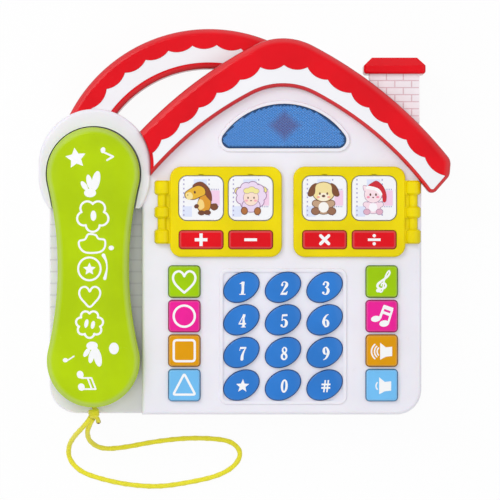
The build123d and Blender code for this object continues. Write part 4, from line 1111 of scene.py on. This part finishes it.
class TELEPHONE_OT_lanyard(bpy.types.Operator):
    """Makes the braided lanyard loop and its knot"""

    bl_idname = "telephone.lanyard"
    bl_label = "Lanyard"

    def execute(self, context):
        sizes = context.scene.telephone_sizes
        yarn = braided("lanyard_yarn", tuple(context.scene.telephone_colours.cord))
        line = spline_line("lanyard_line", [row_point(*p) for p in CORD_ROUTE])
        radius = CORD_D / 2 * MM
        loop = braid_tube("lanyard_loop", line, radius, sizes.braid_pitch, 4, yarn, "handset")
        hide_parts("lanyard_cord")
        knotted = self.knot(yarn, radius, sizes.braid_pitch)
        return {"FINISHED"}

    def knot(self, yarn, radius, pitch):
        """Two turns of the cord pulled tight round both ends, with a short tail and a sealed tip."""
        low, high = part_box("lanyard_knot")
        x = (low.x + high.x) / 2
        _, y, z = row_point(0, *KNOT_PLACE)
        turns = []
        for i in range(KNOT_STEPS):
            a = 2 * pi * i / KNOT_STEPS_A_TURN
            along = y + 1.4 * MM - KNOT_LENGTH * i / (KNOT_STEPS - 1)
            turns.append((x + KNOT_R * cos(a), along, z + KNOT_R * sin(a)))
        neck = [(x, high.y, z), (x, y + 4.0 * MM, z), (x + 0.6 * MM, y + 2.4 * MM, z)]
        tail = [(x + 2.4 * MM, y - 2.6 * MM, z - 1.0 * MM)]
        tail.append((x + 2.6 * MM, low.y + 1.4 * MM, low.z + 1.8 * MM))
        line = spline_line("knot_line", neck + turns + tail)
        knot = braid_tube("lanyard_tied_knot", line, radius * 0.92, pitch, 4, yarn, "handset")
        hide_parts("lanyard_knot")
        return [knot, self.sealed_tip(line, radius, pitch)]

    def sealed_tip(self, line, radius, pitch):
        """The melted brown end of the tail, a little thicker than the yarn."""
        singed = grained("singed_yarn", ink(122, 84, 30), 0.5)
        end = Vector(line[-1])
        way = (end - Vector(line[-4])).normalized()
        short = np.array([tuple(end - way * 0.6 * MM), tuple(end), tuple(end + way * 0.5 * MM)])
        name = "lanyard_sealed_tip"
        return braid_tube(name, short, radius * 0.94, pitch, 4, singed, "handset")


class TELEPHONE_OT_plastics(bpy.types.Operator):
    """Gives every CAD piece its own finish"""

    bl_idname = "telephone.plastics"
    bl_label = "Plastics"

    def execute(self, context):
        c = context.scene.telephone_colours
        shell, red = tuple(c.shell), tuple(c.roof)
        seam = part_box("back_casing")[1].z / MM
        casing = moulded(
            "white_shell", shell, rough=0.3, coat=0.2, mottle=0.02, seam=seam, subsurface=0.08, shine=0.2
        )
        for node in ("front_casing", "back_casing", "battery_door", "hook_plunger"):
            paint(node, casing)
        # The last settings of these finishes add painted shade on upright walls and a painted highlight on
        # rounded edges.
        roof = moulded("red_roof", red, rough=0.22, side_shade=0.5, roll=0.18)
        paint("roof", roof)
        paint("chimney_cap", moulded("red_cap", red, rough=0.22, side_shade=0.3))
        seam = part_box("handle_back")[1].z / MM
        grip = moulded("red_handle", red, rough=0.22, seam=seam, side_shade=0.5, roll=0.18)
        paint("handle_front", grip)
        paint("handle_back", grip)
        band = moulded("white_band", ink(244, 243, 246), rough=0.3, coat=0.2, mottle=0.015, shine=0.2)
        paint("roof_trim", band)
        paint("handle_trim", band)
        low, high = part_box("chimney_stack")
        sides = (low.x / MM, high.x / MM)
        # The second colour is painted shade for the floors of the chimney's grooves.
        brick, groove_shade = ink(252, 246, 250), ink(214, 160, 170)
        bricks = brickwork("white_brick", brick, groove_shade, high.z / MM, low.z / MM, sides, 0.35)
        paint("chimney_stack", bricks)
        frames = moulded("yellow_frame", tuple(c.windows), subsurface=0.05, side_shade=0.55)
        paint("left_window_frame", frames)
        paint("right_window_frame", frames)
        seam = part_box("handset_back")[1].z / MM
        lime = moulded("lime_handset", tuple(c.handset), seam=seam, roll=0.4)
        paint("handset_front", lime)
        paint("handset_back", lime)
        self.buttons(c, red)
        self.lens(c)
        self.inner_pieces()
        return {"FINISHED"}

    def buttons(self, c, red):
        # The last settings add painted shade on upright walls and a painted highlight on rounded edges.
        blue = moulded("blue_key", tuple(c.keys), rough=0.2, coat=0.2, side_shade=0.6, roll=0.12)
        for name in KEY_NAMES:
            paint("key_" + name, blue)
        songs = {}
        for name, colour in SONG_COLOURS.items():
            songs[name] = moulded(name + "_button_plastic", colour, side_shade=0.7, roll=0.25)
        for name in list(SONG_COLOURS) + list(SONG_PAIRS):
            paint(name + "_button", songs[SONG_PAIRS.get(name, name)])
        signs = moulded("red_button", red, rough=0.25, side_shade=0.6, roll=0.3)
        for name in ("plus", "minus", "times", "divide"):
            paint(name + "_button", signs)
        tile = moulded("picture_tile", ink(247, 247, 248), rough=0.25, mottle=0.01, shine=0.2)
        for name in ANIMALS:
            paint(name + "_button", tile)

    def lens(self, c):
        x, y = middle_of("window_led")
        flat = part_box("window_lens")[1].z / MM
        lens_plastic("blue_prisms", tuple(c.lens), ink(82, 44, 104), (x, y), 12.0, flat)
        # The lens body, seen between and round the prisms, gets a much darker blue: painted shade.
        paint("window_lens", moulded("blue_lens_painted_shade", shaded(tuple(c.lens), 0.4), rough=0.12, coat=0.5))
        paint("window_led", moulded("lamp_red", ink(150, 40, 60), rough=0.1))

    def inner_pieces(self):
        paint("circuit_board", circuit_green("circuit_green"))
        paint("contact_mat", grained("silicone", ink(214, 214, 208), 0.5))
        paint("rubber_feet", grained("foot_rubber", ink(60, 60, 62), 0.75))
        paint("speaker", grained("speaker_card", ink(34, 34, 36), 0.7))
        paint("batteries", cell_wrap("cell_wrap"))
        knob = grained("switch_black", ink(30, 30, 32), 0.45)
        paint("power_switch", knob)
        paint("switch_knob", knob)
        steel = brushed("plated_steel", ink(196, 196, 200))
        for node in ("casing_screws", "board_screws", "handset_screws", "battery_contacts"):
            paint(node, steel)


class TELEPHONE_OT_digits(bpy.types.Operator):
    """Prints the figures on the twelve oval keys"""

    bl_idname = "telephone.digits"
    bl_label = "Key figures"

    def execute(self, context):
        size = context.scene.telephone_sizes.digit_height / MM
        for name in KEY_NAMES:
            node = "key_" + name
            x, y = middle_of(node)
            shapes, cuts = digit_shapes(name)
            scale = size * (0.92 if name in ("hash", "star") else 1.0)
            place = (x + 0.5 - 0.3 * scale, y - 0.5 - 0.5 * scale)
            lean = 0.06
            shapes = moved(shapes, *place, scale, 0.0, lean)
            cuts = moved(cuts, *place, scale, 0.0, lean)
            decal(node + "_figure", node, node, shapes, white_print(), cuts, spacing=1.2)
        return {"FINISHED"}


class TELEPHONE_OT_songs(bpy.types.Operator):
    """Prints the symbols on the eight square buttons"""

    bl_idname = "telephone.songs"
    bl_label = "Song symbols"

    def execute(self, context):
        for name in list(SONG_COLOURS) + list(SONG_PAIRS):
            node = name + "_button"
            shapes, cuts = song_shapes(name)
            x, y = middle_of(node)
            slot = frame_slot(node)
            shapes, cuts = moved(shapes, x, y), moved(cuts, x, y)
            decal(name + "_symbol", node, node, shapes, white_print(), cuts, spacing=5.0)
        return {"FINISHED"}


class TELEPHONE_OT_signs(bpy.types.Operator):
    """Prints the four arithmetic signs"""

    bl_idname = "telephone.signs"
    bl_label = "Sum signs"

    def execute(self, context):
        for name in ("plus", "minus", "times", "divide"):
            node = name + "_button"
            shapes, cuts = sum_shapes(name)
            x, y = middle_of(node)
            shapes = moved(shapes, x, y)
            decal(name + "_sign", node, node, shapes, white_print(), cuts, spacing=5.0)
        return {"FINISHED"}


class TELEPHONE_OT_pictures(bpy.types.Operator):
    """Prints the animal pictures on the four tiles"""

    bl_idname = "telephone.pictures"
    bl_label = "Pictures"

    def execute(self, context):
        inks = {}
        for name, layers in ANIMALS.items():
            node = name + "_button"
            x, y = middle_of(node)
            for i, (shapes, colour) in enumerate(picture_ground() + layers()):
                if colour not in inks:
                    inks[colour] = printed(f"picture_ink_{len(inks) + 1:02d}", colour)
                shapes = moved(shapes, x, y, PICTURE_SCALE)
                piece = f"{name}_print_{i + 1:02d}"
                height = i * PICTURE_LAYER
                decal(piece, node, node, shapes, inks[colour], layer=height, spacing=9.0)
        return {"FINISHED"}


class TELEPHONE_OT_graphics(bpy.types.Operator):
    """Prints the white graphics down the handset"""

    bl_idname = "telephone.graphics"
    bl_label = "Handset graphics"

    def execute(self, context):
        x, y = middle_of("handset_front")
        for i, (shapes, cuts) in enumerate(handset_graphics()):
            shapes, cuts = moved(shapes, x, y), moved(cuts, x, y)
            piece = f"handset_print_{i + 1:02d}"
            decal(piece, "handset_front", "handset", shapes, white_print(), cuts, spacing=1.5)
        return {"FINISHED"}


PRISM_SLACK = 0.05 * MM  # how far under the lens's flat a prism's corner may lie
PRISM_SUNK = 0.02 * MM
PRISM_RISE = 0.32 * MM


class TELEPHONE_OT_prisms(bpy.types.Operator):
    """Covers the window lens with its lattice of small prisms"""

    bl_idname = "telephone.prisms"
    bl_label = "Lens prisms"

    def execute(self, context):
        pitch = context.scene.telephone_sizes.prism_pitch
        row = pitch * 0.8
        low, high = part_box("window_lens")
        tree = surface_of("window_lens")
        verts, faces = [], []
        rows = int((high.y - low.y) / row * 2) + 1
        columns = int((high.x - low.x) / pitch) + 2
        for j in range(rows):
            y = low.y + j * row / 2
            for i in range(columns):
                x = low.x + (i + (0.5 if j % 2 else 0.0)) * pitch
                self.prism(tree, x, y, pitch * 0.5, row * 0.5, high.z, verts, faces)
        new_piece("lens_prisms", verts, faces, bpy.data.materials["blue_prisms"], "base")
        return {"FINISHED"}

    def prism(self, tree, x, y, half_x, half_y, top, verts, faces):
        """One low four-sided point, left out where the lens ends."""
        corners = [(x - half_x, y), (x, y - half_y), (x + half_x, y), (x, y + half_y)]
        if any(height_at(tree, cx, cy, top, 0.0) < top - PRISM_SLACK for cx, cy in corners):
            return
        start = len(verts)
        verts.extend((cx, cy, top - PRISM_SUNK) for cx, cy in corners)
        verts.append((x, y, top + PRISM_RISE))
        faces.extend((start + k, start + (k + 1) % 4, start + 4) for k in range(4))
        faces.append((start + 3, start + 2, start + 1, start))


def frame_slot(node):
    """The material slot that the record gives a node."""
    for part in frame["record"]["subparts"]:
        if part["node"] == node:
            return part["material_slot"]
    raise ValueError(f"the record has no slot for {node}")


class TELEPHONE_PT_panel(bpy.types.Panel):
    """Lists the telephone's operators and sizes"""

    bl_idname = "TELEPHONE_PT_panel"
    bl_label = "Telephone"
    bl_space_type = "VIEW_3D"
    bl_region_type = "UI"
    bl_category = "Telephone"

    def draw(self, context):
        layout = self.layout
        for operator in OPERATORS:
            layout.operator(operator.bl_idname)
        for settings in (context.scene.telephone_sizes, context.scene.telephone_colours):
            for name in settings.__annotations__:
                layout.prop(settings, name)


OPERATORS = (
    TELEPHONE_OT_stage,
    TELEPHONE_OT_lanyard,
    TELEPHONE_OT_plastics,
    TELEPHONE_OT_digits,
    TELEPHONE_OT_songs,
    TELEPHONE_OT_signs,
    TELEPHONE_OT_pictures,
    TELEPHONE_OT_graphics,
    TELEPHONE_OT_prisms,
)
CLASSES = (TelephoneSizes, TelephoneColours) + OPERATORS + (TELEPHONE_PT_panel,)


def register():
    for kind in CLASSES:
        bpy.utils.register_class(kind)
    bpy.types.Scene.telephone_sizes = PointerProperty(type=TelephoneSizes)
    bpy.types.Scene.telephone_colours = PointerProperty(type=TelephoneColours)


def unregister():
    del bpy.types.Scene.telephone_sizes
    del bpy.types.Scene.telephone_colours
    for kind in reversed(CLASSES):
        bpy.utils.unregister_class(kind)


def main():
    register()
    for operator in OPERATORS:
        group, name = operator.bl_idname.split(".")
        getattr(getattr(bpy.ops, group), name)()


if __name__ == "__main__":
    main()
